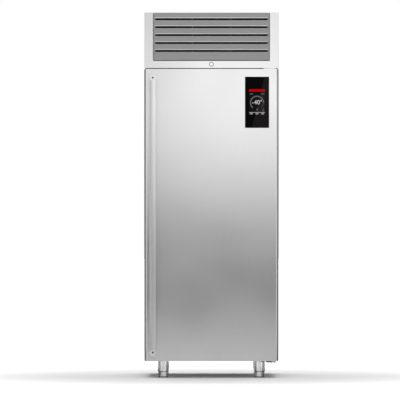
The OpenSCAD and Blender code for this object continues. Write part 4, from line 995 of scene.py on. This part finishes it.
def floor_paper(name):
    """Studio floor, matt white paper: it keeps the machine's shadow and runs out into the white beyond."""
    material, tree, shader, where = surface(name, **{"Roughness": 0.9, "Specular IOR Level": 0.0})
    tone = list(colours().floor)
    paper = add_node(tree, "ShaderNodeTexNoise", {"Vector": where, "Scale": 3.0}).outputs["Fac"]
    tones = {"Factor": paper, "A": rgba([c * 0.99 for c in tone]), "B": rgba(tone)}
    mixed = add_node(tree, "ShaderNodeMix", tones, data_type="RGBA")
    away = add_node(tree, "ShaderNodeVectorMath", {0: where}, operation="LENGTH").outputs["Value"]
    ends = {"Value": away, "From Min": WHITE_FROM, "From Max": WHITE_BY, "To Min": 0.04, "To Max": 1.0}
    lift = add_node(tree, "ShaderNodeMapRange", ends, interpolation_type="SMOOTHSTEP").outputs["Result"]
    seen = add_node(tree, "ShaderNodeMath", {0: lift, 1: seen_rays(tree)}, operation="MULTIPLY").outputs[0]
    shader.inputs["Emission Color"].default_value = WHITE
    tree.links.new(mixed.outputs["Result"], shader.inputs["Base Color"])
    tree.links.new(seen, shader.inputs["Emission Strength"])
    return material


def flag_felt(name):
    """Felt of the flags beside the machine: dark grey, dull, with its fibres clouded."""
    material, tree, shader, where = surface(name, **{"Roughness": 1.0, "Specular IOR Level": 0.0})
    nap = add_node(tree, "ShaderNodeTexNoise", {"Vector": where, "Scale": 40.0}).outputs["Fac"]
    tones = {"Factor": nap, "A": rgba("#2a2a2a"), "B": rgba("#363636")}
    felt = add_node(tree, "ShaderNodeMix", tones, data_type="RGBA")
    tree.links.new(felt.outputs["Result"], shader.inputs["Base Color"])
    return material


def staged(name, bm, material):
    """A piece of the studio."""
    mesh = bpy.data.meshes.new(name)
    bm.to_mesh(mesh)
    bm.free()
    thing = bpy.data.objects.new(name, mesh)
    bpy.context.scene.collection.objects.link(thing)
    mesh.materials.append(material)
    return thing


class CHILLER_OT_studio(bpy.types.Operator):
    """Sets up the floor, the white background, the softboxes, the lamps and the camera"""

    bl_idname = "chiller.studio"
    bl_label = "Studio"

    def execute(self, context):
        bm = bmesh.new()
        bmesh.ops.create_grid(bm, x_segments=1, y_segments=1, size=60)
        staged("studio_floor", bm, floor_paper("studio_paper_white"))
        self.softboxes()
        self.lamps(context)
        self.background(context)
        self.camera(context)
        return {"FINISHED"}

    def softboxes(self):
        """Four upright softboxes around the machine and a dark flag on the floor at each side of it. They are
        seen only in reflections."""
        reach, seen_only_in_gloss = sizes().softbox_distance, []
        for name, turn, glows, level in (
            ("front", 0, FRONT_GLOW, 1.0), ("right", 90, SIDE_GLOW, 0.9), ("back", 180, SIDE_GLOW, 0.8),
            ("left", 270, SIDE_GLOW, 0.9),
        ):
            bm = bmesh.new()
            block(bm, (-SOFTBOX_HALF, -reach - 0.01, 0.0), (SOFTBOX_HALF, -reach, SOFTBOX_TOP))
            turned = Matrix.Rotation(math.radians(turn), 3, "Z")
            bmesh.ops.rotate(bm, verts=bm.verts, cent=(0, 0, 0), matrix=turned)
            glow = cloth("softbox_cloth_" + name, glows, level, name == "front")
            seen_only_in_gloss.append(staged("softbox_" + name, bm, glow))
        felt = flag_felt("studio_flag_felt")
        for name, side in (("flag_left", -1), ("flag_right", 1)):
            bm = bmesh.new()
            edges = sorted(side * x for x in FLAG_X)
            block(bm, (edges[0], FLAG_Y[0], 0.001), (edges[1], FLAG_Y[1], 0.002))
            seen_only_in_gloss.append(staged(name, bm, felt))
        for thing in seen_only_in_gloss:
            thing.visible_camera = thing.visible_diffuse = False
            thing.visible_transmission = thing.visible_shadow = False

    def lamps(self, context):
        """A wide lamp above the machine for its shadow, and a low one in front for its face."""
        for name, place, aim, size, power in (
            ("lamp_above", (0, 0.6, 3.4), (0, 0.6, 0), 3.4, 85),
            ("lamp_front", (0, -6.0, 1.4), (0, 0, 1.1), 3.0, 70),
        ):
            lamp = bpy.data.lights.new(name, "AREA")
            lamp.size = size
            lamp.energy = power
            thing = bpy.data.objects.new(name, lamp)
            thing.location = place
            thing.rotation_euler = (Vector(aim) - Vector(place)).to_track_quat("-Z", "Y").to_euler()
            context.scene.collection.objects.link(thing)
            thing.visible_glossy = False

    def background(self, context):
        """White where the camera, a reflection or glass sees it, and else soft light, stronger from above."""
        world = bpy.data.worlds.new("studio_world")
        context.scene.world = world
        world.use_nodes = True
        tree = world.node_tree
        tree.nodes.clear()
        direction = add_node(tree, "ShaderNodeTexCoord").outputs["Generated"]
        up = add_node(tree, "ShaderNodeSeparateXYZ", {"Vector": direction}).outputs["Z"]
        ends = {"From Min": 0.0, "From Max": 1.0, "To Min": 0.35, "To Max": 0.5}
        fill = add_node(tree, "ShaderNodeMapRange", {"Value": up, **ends}).outputs["Result"]
        soft = add_node(tree, "ShaderNodeBackground", {"Color": WHITE, "Strength": fill}).outputs[0]
        white = add_node(tree, "ShaderNodeBackground", {"Color": WHITE, "Strength": 1.0}).outputs[0]
        both = add_node(tree, "ShaderNodeMixShader", {0: seen_rays(tree), 1: soft, 2: white})
        add_node(tree, "ShaderNodeOutputWorld", {"Surface": both.outputs[0]})

    def camera(self, context):
        """A level camera on a very long lens, straight in front, with the photograph's frame."""
        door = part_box("door_outer_skin")[0].y
        distance = sizes().camera_distance
        lens = bpy.data.cameras.new("camera")
        lens.sensor_width = SENSOR
        lens.lens = SENSOR * (distance + door) / (IMAGE * PIXEL)
        lens.clip_start, lens.clip_end = 1, 200
        camera = bpy.data.objects.new("camera", lens)
        camera.location = (across(IMAGE / 2), -distance, above(IMAGE / 2))
        camera.rotation_euler = (math.radians(90), 0, 0)
        context.scene.collection.objects.link(camera)
        context.scene.camera = camera
        context.scene.view_settings.view_transform = "Standard"


class CHILLER_PT_panel(bpy.types.Panel):
    """The machine's sizes, colours and steps"""

    bl_label = "Blast Chiller"
    bl_idname = "CHILLER_PT_panel"
    bl_space_type = "VIEW_3D"
    bl_region_type = "UI"
    bl_category = "Blast Chiller"

    def draw(self, context):
        layout = self.layout
        for settings in (context.scene.chiller_sizes, context.scene.chiller_colours):
            for name in settings.__annotations__:
                layout.prop(settings, name)
        for operator in OPERATORS:
            layout.operator(operator.bl_idname)


OPERATORS = (
    CHILLER_OT_finishes, CHILLER_OT_display, CHILLER_OT_door, CHILLER_OT_trims, CHILLER_OT_feet,
    CHILLER_OT_machinery, CHILLER_OT_casing, CHILLER_OT_studio,
)
CLASSES = (ChillerSizes, ChillerColours, *OPERATORS, CHILLER_PT_panel)


def register():
    for item in CLASSES:
        bpy.utils.register_class(item)
    bpy.types.Scene.chiller_sizes = bpy.props.PointerProperty(type=ChillerSizes)
    bpy.types.Scene.chiller_colours = bpy.props.PointerProperty(type=ChillerColours)


def unregister():
    del bpy.types.Scene.chiller_colours
    del bpy.types.Scene.chiller_sizes
    for item in reversed(CLASSES):
        bpy.utils.unregister_class(item)


def main():
    register()
    for operator in OPERATORS:
        group, name = operator.bl_idname.split(".")
        getattr(getattr(bpy.ops, group), name)()


if __name__ == "__main__":
    main()
